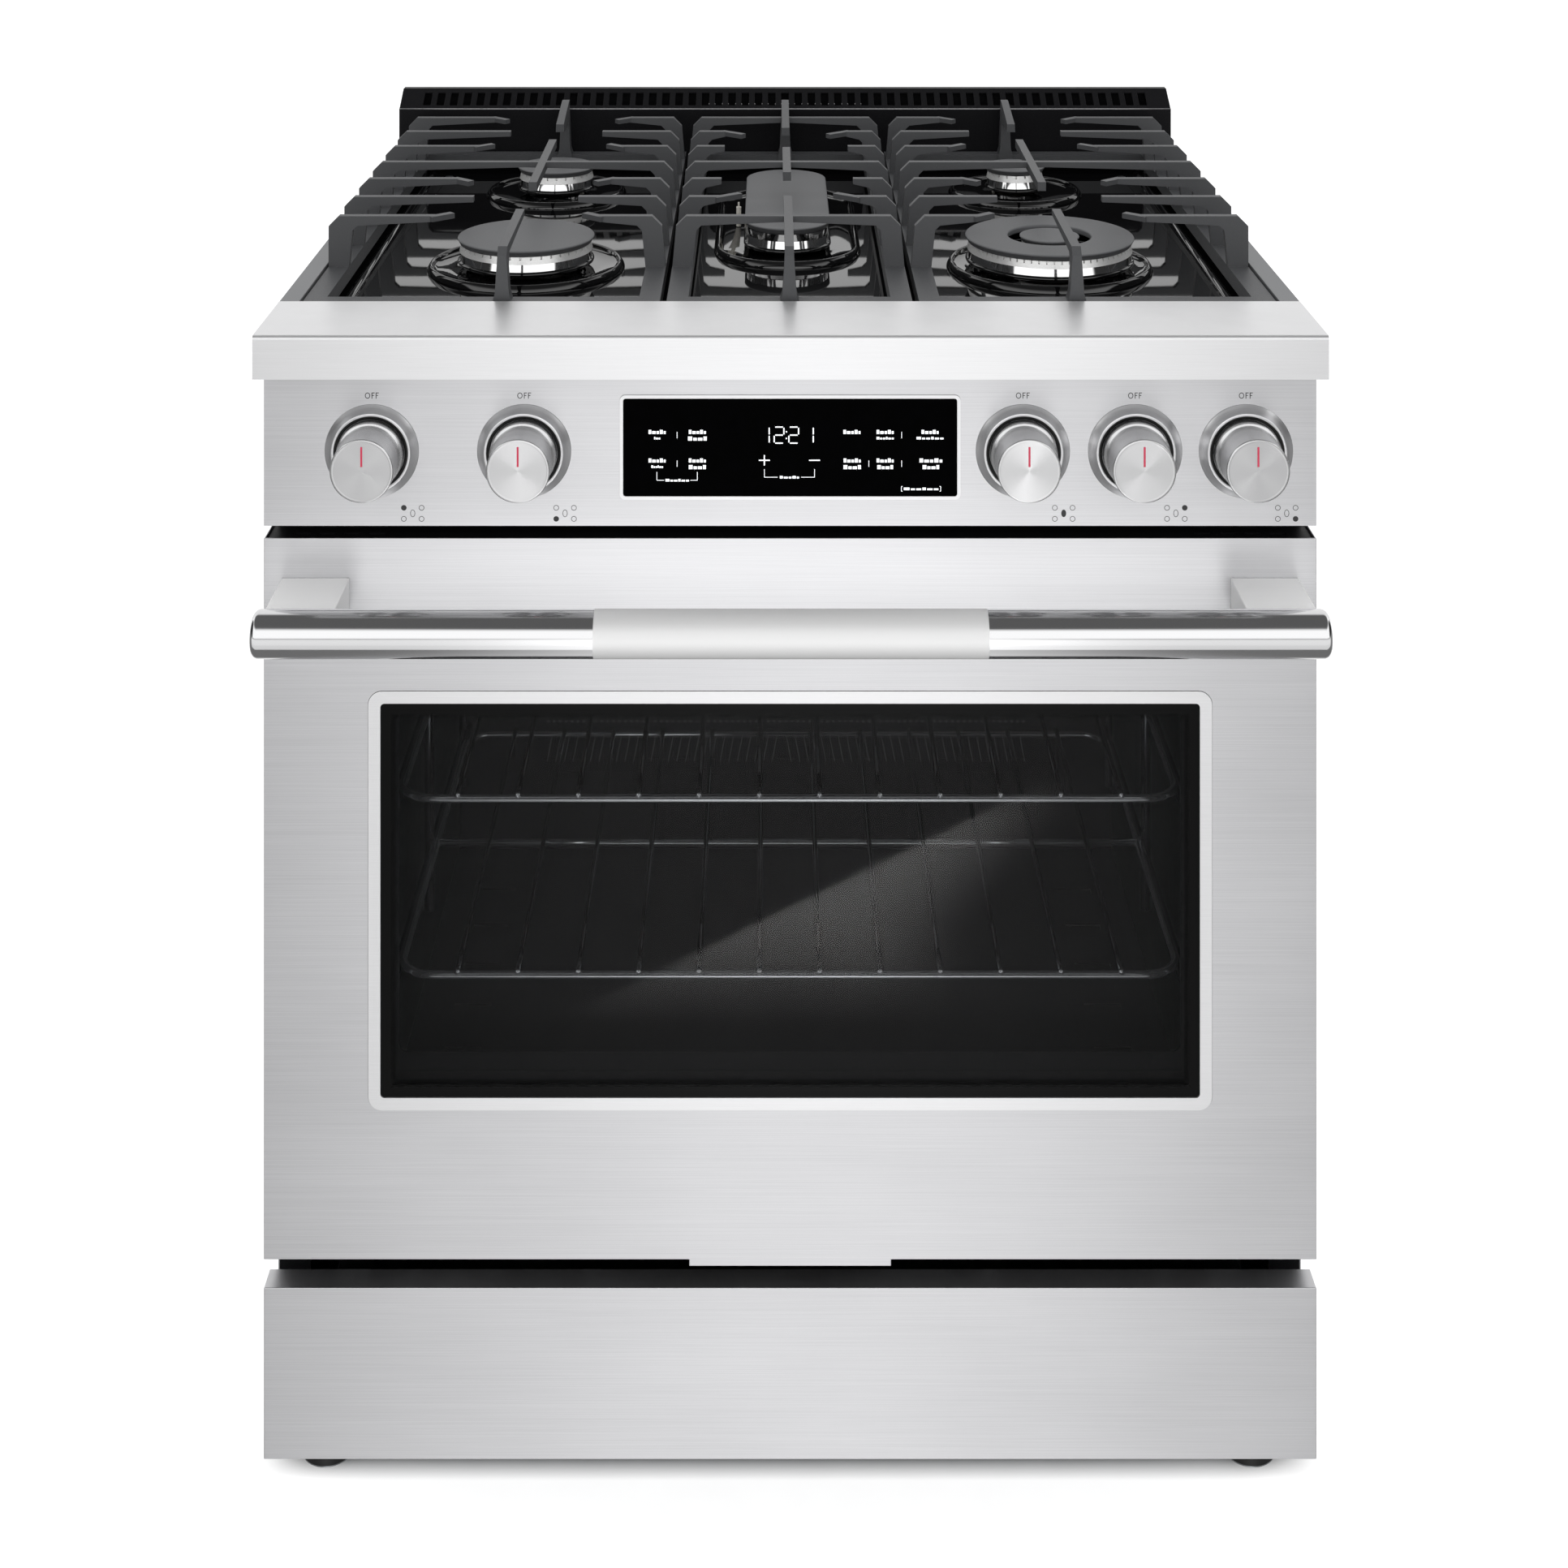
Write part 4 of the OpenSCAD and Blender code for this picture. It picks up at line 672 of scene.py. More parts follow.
def knob_profile(skirt_r, grip_r, back, reach):
    """Half section in mm of radius and distance from the panel: skirt, groove, grip and rounded rim."""
    neck = back + SKIRT_TALL
    return ([(0.0, back), (skirt_r - 0.8, back)]
            + rounded(skirt_r - 0.8, back + 0.8, 0.8, -90, 0)
            + rounded(skirt_r - 0.9, neck - 1.1, 0.9, 0, 80)
            + [(grip_r - 0.3, neck), (grip_r - 0.9, neck + 0.5), (grip_r - 0.9, neck + 1.7)]
            + rounded(grip_r - 0.5, neck + 2.3, 0.5, -90, 0)
            + [(grip_r, neck + 11.7), (grip_r - 0.1, reach - 2.0)]
            + rounded(grip_r - 0.9, reach - 0.8, 0.8, 0, 80)
            + [(grip_r - 1.9, reach - 0.15), (grip_r - 2.4, reach - 0.15), (0.0, reach - 0.15)])


def make_knob(node):
    """The visible knob of one valve, with its groove ring and marker, riding the knob's body."""
    x, tip_y, z = centre(node)[0], low(node)[1], centre(node)[2]
    axis_at = (x, face_y, z)
    skirt_r = (high(node)[0] - low(node)[0]) / 2 / MM
    back, reach = ((face_y - end[1]) / MM for end in (high(node), low(node)))
    grip_r = skirt_r - GRIP_IN
    metal = turned_metal(f"turned_aluminium_{node}", axis_at, 0.22, 0.85, "#dededf", "#cececf")
    profile = np.array(knob_profile(skirt_r, grip_r, back, reach)) * MM
    build(f"{node}_turned", turned(profile, axis_at, "-y"), metal, node, seam=1e-6, instead=True)
    neck = back + SKIRT_TALL
    ring = np.array([(grip_r - 0.85, neck + 0.4), (grip_r - 0.55, neck + 0.7), (grip_r - 0.55, neck + 1.6),
                     (grip_r - 0.85, neck + 1.8)]) * MM
    build(f"{node}_groove", turned(ring, axis_at, "-y"), groove_black, node)
    corners = [(x + side * MARKER_HALF * MM, tip_y + deep * MM, z + up * MM) for deep in (0.0, MARKER_DEEP)
               for side, up in ((-1, MARKER_LOW), (1, MARKER_LOW), (1, MARKER_HIGH), (-1, MARKER_HIGH))]
    sides = [(0, 1, 2, 3)] + [(k, k + 4, (k + 1) % 4 + 4, (k + 1) % 4) for k in range(4)]
    build(f"{node}_marker", (corners, sides), marker_red, node, smooth=False)


for index in KNOBS:
    make_knob(f"knob_{index}")
print("turned", len(KNOBS), "knobs")

# %% Rings behind the knobs, and the painted shade in their gaps
LIP = 0.6
LIP_IN = 5.6
SHADE_RING_IN = 24.4
SHADE_RING_OUT = 27.2
SHADE_RING_LOW = 3.0
SHADE_RING_HIGH = 1.6


def make_rings():
    """Polished cones with a bright lip, which replace the CAD rings, each with a black ring of painted shade
    inside.
    """
    node = "knob_bezels"
    outer = (high(node)[2] - low(node)[2]) / 2 / MM
    tall = (face_y - low(node)[1]) / MM
    lip_r = outer - LIP_IN
    cone = np.array([(outer, 0.0), (outer, 0.6), (outer - 0.5, 1.0), (lip_r + 0.5, tall - LIP)]
                    + rounded(lip_r - 0.1, tall - LIP, LIP, 10, 90)
                    + rounded(lip_r - 1.2, tall - LIP, LIP, 90, 180)
                    + [(lip_r - 1.9, 1.0), (outer - 8.0, 0.0)]) * MM
    # A black ring across the gap between the skirt and the lip, as painted shade.
    foot, top = tall - SHADE_RING_LOW, tall - SHADE_RING_HIGH
    corners = [(SHADE_RING_IN, foot), (SHADE_RING_OUT, foot), (SHADE_RING_OUT, top), (SHADE_RING_IN, top)]
    shade_ring = np.array(corners + corners[:1]) * MM
    for index in KNOBS:
        x, _, z = centre(f"knob_{index}")
        axis_at = (x, face_y, z)
        metal = turned_metal(f"polished_steel_ring_{index}", axis_at, 0.34, 0.5, "#f6f6f7", "#e8e8e9")
        build(f"knob_ring_{index}", turned(cone, axis_at, "-y"), metal, node, seam=1e-6, instead=True)
        build(f"knob_gap_shade_{index}", turned(shade_ring, axis_at, "-y"), gap_shade_black, node, seam=1e-7)


make_rings()
# The seals counted here are the black rings of painted shade in the gaps.
print("turned", len(KNOBS), "rings and seals")

# %% [markdown]
# ## Printing on the panel
#
# Ink is a few hundredths of a millimetre thick. Every mark is a flat shape just in front of its surface,
# drawn in x and z: bars, ovals and rings. The only letters are those of the off position, and the only
# digits are the clock's. Words on the display are greeked: each is a row of plain blocks.

# %% Flat marks
INK = 0.04 * MM
MARK_STEPS = 28


def bar(x, z, w, h):
    """A rectangle about (x, z)."""
    return np.array([x, z]) + np.array([(-w, -h), (w, -h), (w, h), (-w, h)]) / 2


def slanted(x0, z0, x1, z1, w):
    """A stroke of width w from one point to another."""
    along = np.array([x1 - x0, z1 - z0])
    side = np.array([along[1], -along[0]]) / np.linalg.norm(along) * w / 2
    a, b = np.array([x0, z0]), np.array([x1, z1])
    return np.array([a + side, b + side, b - side, a - side])


def oval(x, z, rx, rz):
    """A filled ellipse."""
    angle = np.linspace(0, 2 * np.pi, MARK_STEPS, endpoint=False)
    return np.stack([x + rx * np.cos(angle), z + rz * np.sin(angle)], axis=1)


def hoop(x, z, rx, rz, w):
    """An elliptical ring of stroke w, as one quad for each step."""
    angle = np.linspace(0, 2 * np.pi, MARK_STEPS + 1)
    ring = np.stack([np.cos(angle), np.sin(angle)], axis=1)
    outer = np.array([x, z]) + ring * (rx, rz)
    inner = np.array([x, z]) + ring * (rx - w, rz - w)
    return [np.array([outer[k], outer[k + 1], inner[k + 1], inner[k]]) for k in range(MARK_STEPS)]


def print_marks(name, shapes, y, finish, node):
    """One flat mesh of many shapes in mm, facing -Y, riding the same body as its node."""
    points, faces = [], []
    for shape in shapes:
        area = sum(a[0] * b[1] - b[0] * a[1] for a, b in zip(shape, np.roll(shape, -1, axis=0)))
        ring = [(px * MM, y - INK, pz * MM) for px, pz in (shape if area > 0 else shape[::-1])]
        faces.append(list(range(len(points), len(points) + len(ring))))
        points += ring
    build(name, (points, faces), finish, node, smooth=False)


panel_ink = mottled("screen_ink_charcoal", "#3a3a3b", "#2c2c2d", 1200.0, Roughness=0.5)[0]
lit_print, tree, shader, wander = mottled("lit_white_print", "#f4f6f8", "#e6e9ec", 1200.0, Roughness=0.5,
                                          Emission_Strength=0.75)
plug(tree, add(tree, "ValToRGB", tones("#e6e9ec", "#f4f6f8"), Fac=wander), shader, "Emission Color")
print("inks:", panel_ink.name, lit_print.name)

# %% Off labels and burner icons
LETTER_H = 4.4
STROKE = 0.55
LABEL_RISE = 40.0
ICON_DROP = 45.0
ICON_SIDE = 29.5
ICON_LINE = 0.42
ICON_SPOTS = ((-6.4, 4.0), (-6.4, -4.0), (0.0, 0.0), (6.4, 4.0), (6.4, -4.0))


def letter_f(x, z, w, h):
    """A stem and two arms."""
    return [bar(x - w / 2 + STROKE / 2, z, STROKE, h), bar(x, z + h / 2 - STROKE / 2, w, STROKE),
            bar(x - 0.2, z + 0.1, w * 0.75, STROKE)]


def off_label(x, z):
    """Round letter and two stemmed ones, in mm."""
    shapes = hoop(x - 3.1, z, 1.9, LETTER_H / 2, STROKE)
    return shapes + letter_f(x + 0.9, z, 2.2, LETTER_H) + letter_f(x + 3.9, z, 2.2, LETTER_H)


def burner_icon(x, z, filled):
    """Four round burners and the oval one between them; the knob's own burner is filled."""
    shapes = []
    for k, (dx, dz) in enumerate(ICON_SPOTS):
        size = (1.8, 2.7) if dx == 0 else (2.0, 2.0)
        at = (x + dx, z + dz, *size)
        shapes += [oval(*at)] if k == filled else hoop(*at, ICON_LINE)
    return shapes


panel_marks = []
for index in KNOBS:
    x, _, z = centre(f"knob_{index}") / MM
    panel_marks += off_label(x, z + LABEL_RISE) + burner_icon(x + ICON_SIDE, z - ICON_DROP, index - 1)
print_marks("panel_printing", panel_marks, low("control_panel")[1], panel_ink, "control_panel")
print("marks on the panel:", len(panel_marks))

# %% Display graphics, in mm from the middle of the glass
WORD_H = 3.0
SMALL_H = 1.9
LINE = 0.45
HEAVY = 0.9
UPPER = 9.4
LOWER = -11.2
BLOCKS = (1.0, 0.72, 0.86, 0.6, 0.94, 0.78)
GAP_SHARE = 0.22
DIGIT_W = 7.0
DIGIT_H = 11.6
SEGMENTS = {"1": "bc", "2": "abged"}
CLOCK = (("1", -18.6), ("2", -8.0), ("2", 2.6), ("1", 13.2))
# Each word: x, row, width of its first line, of a second line, and of a line in small print.
WORDS = ((-96.0, UPPER, 12.4, 0, 4.5), (-67.0, UPPER, 12.4, 13.6, 0), (-96.0, LOWER, 12.4, 0, 8.5),
         (-67.0, LOWER, 12.4, 12.4, 0), (44.6, UPPER, 12.4, 0, 0), (68.6, UPPER, 12.4, 0, 12.5),
         (101.0, UPPER, 12.4, 0, 19.5), (44.8, LOWER, 12.4, 12.6, 0), (68.6, LOWER, 12.4, 11.5, 0),
         (101.6, LOWER, 16.5, 12.0, 0))
DIVIDERS = ((-81.6, UPPER), (-81.6, LOWER), (80.5, UPPER), (80.5, LOWER), (56.8, LOWER))
FOOTNOTE = (94.5, -30.0)


def greeked(x, z, w, h, letters=5):
    """A word of plain blocks that shrink and grow like letters, w wide about x."""
    shares = np.array([BLOCKS[(k + letters) % len(BLOCKS)] for k in range(letters)])
    unit = w / (shares.sum() + GAP_SHARE * (letters - 1))
    starts = np.concatenate([[0], np.cumsum((shares + GAP_SHARE) * unit)[:-1]])
    tall = [h if k % 3 == 0 else 0.7 * h for k in range(letters)]
    return [bar(x - w / 2 + start + share * unit / 2, z - (h - rise) / 2, share * unit, rise)
            for start, share, rise in zip(starts, shares, tall)]


def digit(text, x, z):
    """Seven-segment digit as bars."""
    side, up = DIGIT_W / 2, DIGIT_H / 2
    flat = {"a": up, "g": 0.0, "d": -up}
    tall = {"b": (side, up / 2), "c": (side, -up / 2), "e": (-side, -up / 2), "f": (-side, up / 2)}
    return [bar(x, z + flat[s], DIGIT_W - 1.4, HEAVY) if s in flat
            else bar(x + tall[s][0], z + tall[s][1], HEAVY, up - 1.0) for s in SEGMENTS[text]]


def bracket(x0, x1, z_top, z_low, gap0, gap1):
    """Two thin legs and the bar between them, which opens for a word."""
    legs = [bar(x, (z_top + z_low) / 2, LINE, z_top - z_low) for x in (x0, x1)]
    return legs + [bar((a + b) / 2, z_low, b - a, LINE) for a, b in ((x0, gap0), (gap1, x1))]


def display_marks():
    """All lit marks about the middle of the glass."""
    marks = []
    for x, row, first, second, third in WORDS:
        marks += greeked(x, row + 1.7, first, WORD_H)
        marks += greeked(x, row - 3.1, second, WORD_H, 4) if second else []
        marks += greeked(x, row - 2.8, third, SMALL_H, 3 if third < 5 else 6) if third else []
    marks += [bar(x, row - 0.6, LINE, 4.6) for x, row in DIVIDERS]
    x, z = FOOTNOTE
    marks += greeked(x, z, 25.0, SMALL_H, 6)
    for side in (-1, 1):
        marks.append(bar(x + side * 14.2, z, LINE, 3.4))
        marks += [bar(x + side * 13.8, z + rise, HEAVY, LINE) for rise in (1.7, -1.7)]
    marks += bracket(-96.2, -67.0, LOWER - 6.6, LOWER - 12.6, -91.0, -72.0)
    marks += greeked(-81.5, LOWER - 12.6, 17.0, SMALL_H, 6)
    clock_z, sign_z = UPPER - 0.6, LOWER + 1.8
    for text, x in CLOCK:
        marks += digit(text, x, clock_z)
    marks += [bar(-2.7, clock_z + rise, 1.0, 1.0) for rise in (2.4, -2.4)]
    marks += [bar(-18.6, sign_z, 8.0, HEAVY), bar(-18.6, sign_z, HEAVY, 7.6), bar(17.6, sign_z, 8.0, HEAVY)]
    marks += bracket(-18.6, 17.6, sign_z - 6.4, sign_z - 12.2, -9.0, 8.0)
    return marks + greeked(-0.5, sign_z - 12.2, 14.0, SMALL_H, 5)


middle = centre("display_glass")[[0, 2]] / MM
lit = [mark + middle for mark in display_marks()]
print_marks("display_printing", lit, low("display_glass")[1], lit_print, "display_glass")
print("marks on the display:", len(lit))

# %% [markdown]
# ## Burners
#
# Each burner is a stack of turned pieces. A bowl of black enamel with a raised lip sits on the pan. On it
# stands the die-cast head: a black foot, a polished band and a crown of flame ports, which are slots in its
# upper edge. A plain cap of matt enamel closes the head. The long middle burner has the same section, swept
# round a stadium: two half circles joined by straight sides.

# %% Separate solids of a node
SAME_SPOT = 5 * MM


def solids(node):
    """Boxes (low, high) of the separate solids in a node, found by walking across shared points.

    The walk starts anywhere, so the boxes are sorted to give the same order in each run.
    """
    work = bmesh.new()
    work.from_mesh(nodes[node].data)
    bmesh.ops.remove_doubles(work, verts=work.verts, dist=2e-6)
    waiting = set(work.verts)
    boxes = []
    while waiting:
        edge_of_walk = [waiting.pop()]
        island = list(edge_of_walk)
        while edge_of_walk:
            near = {edge.other_vert(point) for point in edge_of_walk for edge in point.link_edges} & waiting
            waiting -= near
            edge_of_walk = list(near)
            island += edge_of_walk
        places = np.array([point.co[:] for point in island])
        boxes.append((places.min(axis=0), places.max(axis=0)))
    work.free()
    return sorted(boxes, key=lambda box: tuple(box[0]))


def sizes_at(node, spot):
    """Half widths and half depths in mm of a node's solids that stand at a spot."""
    near = [b for b in solids(node) if np.all(np.abs((b[0] + b[1])[:2] / 2 - spot) < SAME_SPOT)]
    return np.array([(b[1] - b[0])[:2] / 2 / MM for b in near])


spots = sorted({tuple(round(float(v), 4) for v in (a + b)[:2] / 2) for a, b in solids("burner_caps")})
print("burners at", spots)

# %% Sections of a burner, in mm from its axis and from the bottom of the piece
# A section is a list of radius and height.
PORT_DEEP = 3.0
CROWN_LEAN = 0.25
BAND_H = 6.4
BAND_LEAN = 1.5
FOOT_H = 3.6
BOWL_LIP = 1.7
CAP_EDGE = 0.9
HOLE_EDGE = 1.4
WALL = 4.0
CROWN_WALL = 5.0


def swept(profile, middle, straight, steps=96):
    """Sweeps (radius, height) round a stadium: the circle's halves move apart by straight along Y."""
    profile = np.asarray(profile, float)
    half = np.linspace(0, np.pi, steps // 2 + 1)
    angle = np.concatenate([half, half + np.pi])
    around = np.stack([np.cos(angle), np.sin(angle)], axis=1)
    shift = np.repeat([(0.0, straight), (0.0, -straight)], len(half), axis=0)
    flat = profile[:, 0, None, None] * around + shift
    tall = np.broadcast_to(profile[:, 1, None, None], (*flat.shape[:2], 1))
    return np.asarray(middle) + np.concatenate([flat, tall], axis=-1), grid_faces(len(profile), len(around))


def cap_section(r, tall):
    """A flat disc whose wall leans in towards its foot, with a rounded rim, faintly crowned."""
    return ([(0.0, 0.0), (r - 2.8, 0.0), (r - 2.1, 0.4), (r - 0.1, tall - CAP_EDGE)]
            + rounded(r - CAP_EDGE, tall - CAP_EDGE, CAP_EDGE, 0, 80) + [(r - 3.0, tall - 0.02), (0.0, tall)])


def ring_section(r, hole, tall):
    """A ring cap: rounded at its rim and round its hole, closed on itself."""
    inner = rounded(hole + HOLE_EDGE, tall - HOLE_EDGE, HOLE_EDGE, 90, 180)
    return ([(hole + 1.0, 0.0)] + cap_section(r, tall)[1:-1] + [(hole + 3.0, tall)] + inner
            + [(hole, 1.0), (hole + 1.0, 0.0)])


def foot_section(r):
    """The black foot of the head: a rolled ring that is wider than the band."""
    return [(r - WALL, 0.0), (r + 1.4, 0.0), (r + 2.6, 0.7), (r + 2.9, 1.6), (r + 2.7, 2.5), (r + 2.1, 3.2),
            (r + 1.2, FOOT_H), (r - WALL, FOOT_H)]


def band_section(r):
    """The polished band leans in towards its top, so that it mirrors the room and not the pan."""
    low_r = r + BAND_LEAN - 0.6
    return [(r - WALL, FOOT_H), (low_r, FOOT_H), (low_r + 0.2, FOOT_H + 0.3), (r - 0.5, FOOT_H + BAND_H),
            (r - WALL, FOOT_H + BAND_H)]


def bowl_section(inner, outer, tall):
    """A flat floor between the head and a thin raised lip."""
    return ([(inner - 6.0, 0.2), (inner - 6.0, 1.6), (inner + 3.0, 1.5), (outer - 8.5, 1.4),
             (outer - 6.2, 2.6)]
            + rounded(outer - BOWL_LIP - 2.2, tall - BOWL_LIP, BOWL_LIP, 150, 40)
            + [(outer - 1.6, tall - 2.2), (outer - 0.4, tall - 4.2), (outer, 0.4), (outer, 0.0)])


def crown(r, middle, pitch, low_z, port_z, high_z):
    """A ring whose upper edge is cut by ports: over a fifth of each pitch the radius drops by PORT_DEEP."""
    count = max(8, int(2 * math.pi * r / pitch))
    share = np.array([0.0, 0.2, 0.2, 0.45, 0.7, 0.9999])
    angle = ((np.arange(count)[:, None] + share) * 2 * np.pi / count).ravel()
    cut = np.tile([1, 1, 0, 0, 0, 0], count) * PORT_DEEP
    around = np.stack([np.cos(angle), np.sin(angle)], axis=1)
    foot_r = r + CROWN_LEAN * (high_z - low_z)
    port_r = r + CROWN_LEAN * (high_z - port_z)
    inner = r - CROWN_WALL
    rows = [(inner, low_z), (foot_r, low_z), (port_r, port_z), (port_r - cut, port_z), (r - cut, high_z),
            (inner, high_z)]
    points = [np.column_stack([np.broadcast_to(reach, len(angle))[:, None] * around,
                               np.full(len(angle), z)]) for reach, z in rows]
    return np.asarray(middle) + np.array(points) * MM, grid_faces(len(rows), len(angle))


print("points in the section of a cap:", len(cap_section(50.0, 4.0)))

# %% [markdown]
# The polished band mirrors whatever stands in front of it, and its sides go dark. The crown is blasted, and
# its copy of the same alloy is also lighter and less metallic: a lit copy that paints it bright all the way
# round, where it would mirror the dark pan.

# %% Metals of the heads
polished_band = plain_metal("die_cast_aluminium_polished", "#f2f2f2", "#e8e8e8", 0.07, 500.0, 0.002 * MM)
# Blasted roughness, and a lighter, less metallic colour: a lit copy that keeps the crown bright.
crown_blasted_lit_copy = plain_metal("die_cast_aluminium_blasted_lit_copy", "#fbfbfa", "#efefee", 0.36, 900.0, 0.02 * MM,
                            metal=0.55)
CORNER = 35.0
print("heads:", polished_band.name, crown_blasted_lit_copy.name)

# %% One burner, in mm
BOWL_TALL = 6.0
PORT_TALL = 2.4
TOP_GAP = 0.2
RING_PITCH = 6.0
ROUND_PITCH = 8.2
RING_GAP = 9.5
INNER_IN = 2.0
INNER_LOW = 2.0
cap_z, head_z = low("burner_caps")[2], low("burner_heads")[2]
cap_tall = (high("burner_caps")[2] - cap_z) / MM
crown_top = (cap_z - head_z) / MM - TOP_GAP


def stack_piece(name, section, middle, straight, finish, node):
    """One swept piece of a burner, which stands for a CAD node."""
    grid = swept(np.array(section, float) * MM, middle, straight * MM)
    build(name, grid, finish, node, seam=1e-6, crease=CORNER, instead=True)


def make_crown(k, r, middle, pitch, foot):
    """A crown of ports in the lit copy of blasted aluminium, from foot up to the common height of all crowns.
    """
    ports = crown(r, middle, pitch, foot, crown_top - PORT_TALL, crown_top)
    build(f"burner_crown_{k}", ports, crown_blasted_lit_copy, "burner_heads", seam=1e-6, crease=CORNER, instead=True)


def make_burner(k, spot, hole):
    """Bowl, foot, band, crown and cap of one burner, from the solids' sizes; a hole makes a ring cap."""
    r, deep = sizes_at("burner_caps", spot).max(axis=0)
    head_r = sizes_at("burner_heads", spot).max(axis=0)[0]
    bowl_r = sizes_at("burner_bases", spot).max(axis=0)[0]
    straight = deep - r if deep - r > 1.0 else 0.0
    at_head, at_cap = (*spot, head_z), (*spot, cap_z)
    stack_piece(f"burner_bowl_{k}", bowl_section(head_r, bowl_r, BOWL_TALL), (*spot, head_z - BOWL_TALL * MM),
                straight, bowl_enamel, "burner_bases")
    stack_piece(f"burner_foot_{k}", foot_section(head_r), at_head, straight, bowl_enamel, "burner_heads")
    stack_piece(f"burner_band_{k}", band_section(head_r), at_head, straight, polished_band, "burner_heads")
    crown_low = FOOT_H + BAND_H
    if straight:
        wall = [(head_r - CROWN_WALL, crown_low), (head_r, crown_low), (head_r, crown_top),
                (head_r - CROWN_WALL, crown_top)]
        stack_piece(f"burner_crown_{k}", wall, at_head, straight, polished_band, "burner_heads")
    else:
        make_crown(k, head_r, at_head, RING_PITCH if hole else ROUND_PITCH, crown_low)
    section = ring_section(r, hole, cap_tall) if hole else cap_section(r, cap_tall)
    stack_piece(f"burner_cap_{k}", section, at_cap, straight, cap_enamel, "burner_caps")


print("crowns reach", round(float(crown_top), 2), "mm over the foot of the heads")

# %% Make the burners
round_r = [size[0] if abs(size[0] - size[1]) < 1 else 0.0
           for size in (sizes_at("burner_caps", spot).max(axis=0) for spot in spots)]
ring_burner = int(np.argmax(round_r))
ring_spot = spots[ring_burner]
inner_r = sizes_at("burner_caps", ring_spot)[:, 0].min()
for k, spot in enumerate(spots):
    make_burner(k, spot, inner_r + RING_GAP if k == ring_burner else 0.0)
stack_piece("burner_cap_inner", cap_section(inner_r, cap_tall), (*ring_spot, cap_z), 0.0, cap_enamel,
            "burner_caps")
make_crown("inner", inner_r - INNER_IN, (*ring_spot, head_z), RING_PITCH, INNER_LOW)
print("made", len(spots), "burners; the ring burner is number", ring_burner)

# %% [markdown]
# ## Handle tube
#
# The tube's ends are spun round, and its wall is smooth enough to mirror the whole room as bands. A finer
# mesh than the CAD's keeps those bands straight.

# %% Handle tube
END_ROUND = 5.0


def make_handle(node="handle_bar"):
    """A long profile about X with quarter rounds at both ends."""
    size = (high(node) - low(node)) / 2 / MM
    radius, half = float(size[1:].min()), size[0]
    left = rounded(radius - END_ROUND, -half + END_ROUND, END_ROUND, -90, 0)
    right = rounded(radius - END_ROUND, half - END_ROUND, END_ROUND, 0, 90)
    profile = np.array([(0.0, -half), *left, *right, (0.0, half)]) * MM
    made = build("handle_tube", turned(profile, centre(node), "x", 128), handle_tube, node, seam=1e-6,
                 instead=True)
    made.visible_glossy = False
    return made


print("handle tube", [round(float(v), 3) for v in make_handle().dimensions])

# %% [markdown]
# ## Oven racks
#
# A rack is bent from round rod: a closed frame with rounded corners, a bar across its middle, and twelve
# thinner wires laid on top and welded. All are tubes along paths. The rod and the welded tips of the wires at
# the front wear a lit copy of the plating, brighter than the wires, which paints their highlights.

# %% Racks
ROD_R = 3.0
CORNER_R = 24.0
WIRE_R = 2.1
TIP_R = 2.2
WIRES = 12
WIRE_REACH = 249.0


def frame_path(x, y0, y1, z):
    """A rounded rectangle as points, from the middle of the back edge round to it again."""
    turn = np.radians(np.linspace(0, 90, 7))
    c = CORNER_R
    corners = [(-x + c, y1 - c, 90), (-x + c, y0 + c, 180), (x - c, y0 + c, -90), (x - c, y1 - c, 0)]
    rounds = [np.stack([cx + c * np.cos(turn + math.radians(a)), cy + c * np.sin(turn + math.radians(a))],
                       axis=1) for cx, cy, a in corners]
    order = np.concatenate([[[0.0, y1]], *rounds, [[0.0, y1]]])
    return np.concatenate([order, np.full((len(order), 1), z)], axis=1)


def make_rack(node):
    """The frame with its middle bar and wire tips, and the long wires: two pieces that stand for a rack."""
    x, _, _ = high(node) / MM - ROD_R
    _, y0, z = low(node) / MM + ROD_R
    y1 = high(node)[1] / MM - ROD_R
    middle, over = (y0 + y1) / 2, z + ROD_R
    rods = [tube_along(frame_path(x, y0, y1, z), ROD_R, 14),
            tube_along([(px, middle, z) for px in np.linspace(-x, x, 5)], ROD_R, 14)]
    wires = []
    for px in np.linspace(-WIRE_REACH, WIRE_REACH, WIRES):
        wires.append(tube_along([(px, py, over) for py in np.linspace(y0 - 0.6, y1 + 2.4, 6)], WIRE_R, 10))
        rods.append(tube_along([(px, py, over) for py in (y0 - 2.6, y0 - 0.4)], TIP_R, 10))
    for title, tubes, finish in (("frame", rods, rack_rod_lit_copy), ("wires", wires, chrome_wire)):
        build(f"{node}_{title}", join_parts(tubes, MM), finish, node, seam=1e-6, instead=True)


for node in ("upper_rack", "lower_rack"):
    make_rack(node)
print("racks of", WIRES, "wires")

# %% [markdown]
# ## Small sheet details
#
# Thin things finish the sheet metal: the hem along the vent, the lit baffle behind its middle slots, the
# perforations of the fan cover drawn lighter as painted highlights, the strips that stiffen the front frame
# under the door, and the rubber round each foot. Each is a plain bar, rod or ring that lies on its carrier.

# %% Vent hem and baffle
HEM_R = 0.7
BRIGHT_SLOTS = 12
SLOT_PITCH = 13.1
SLIVER_HALF = 3.2
SLIVER_R = 0.9
LIP_DROP = 15.8
hem_metal = plain_metal("bare_steel_hem", "#c4c4c5", "#a8a8a9", 0.35, 400.0, 0.005 * MM)


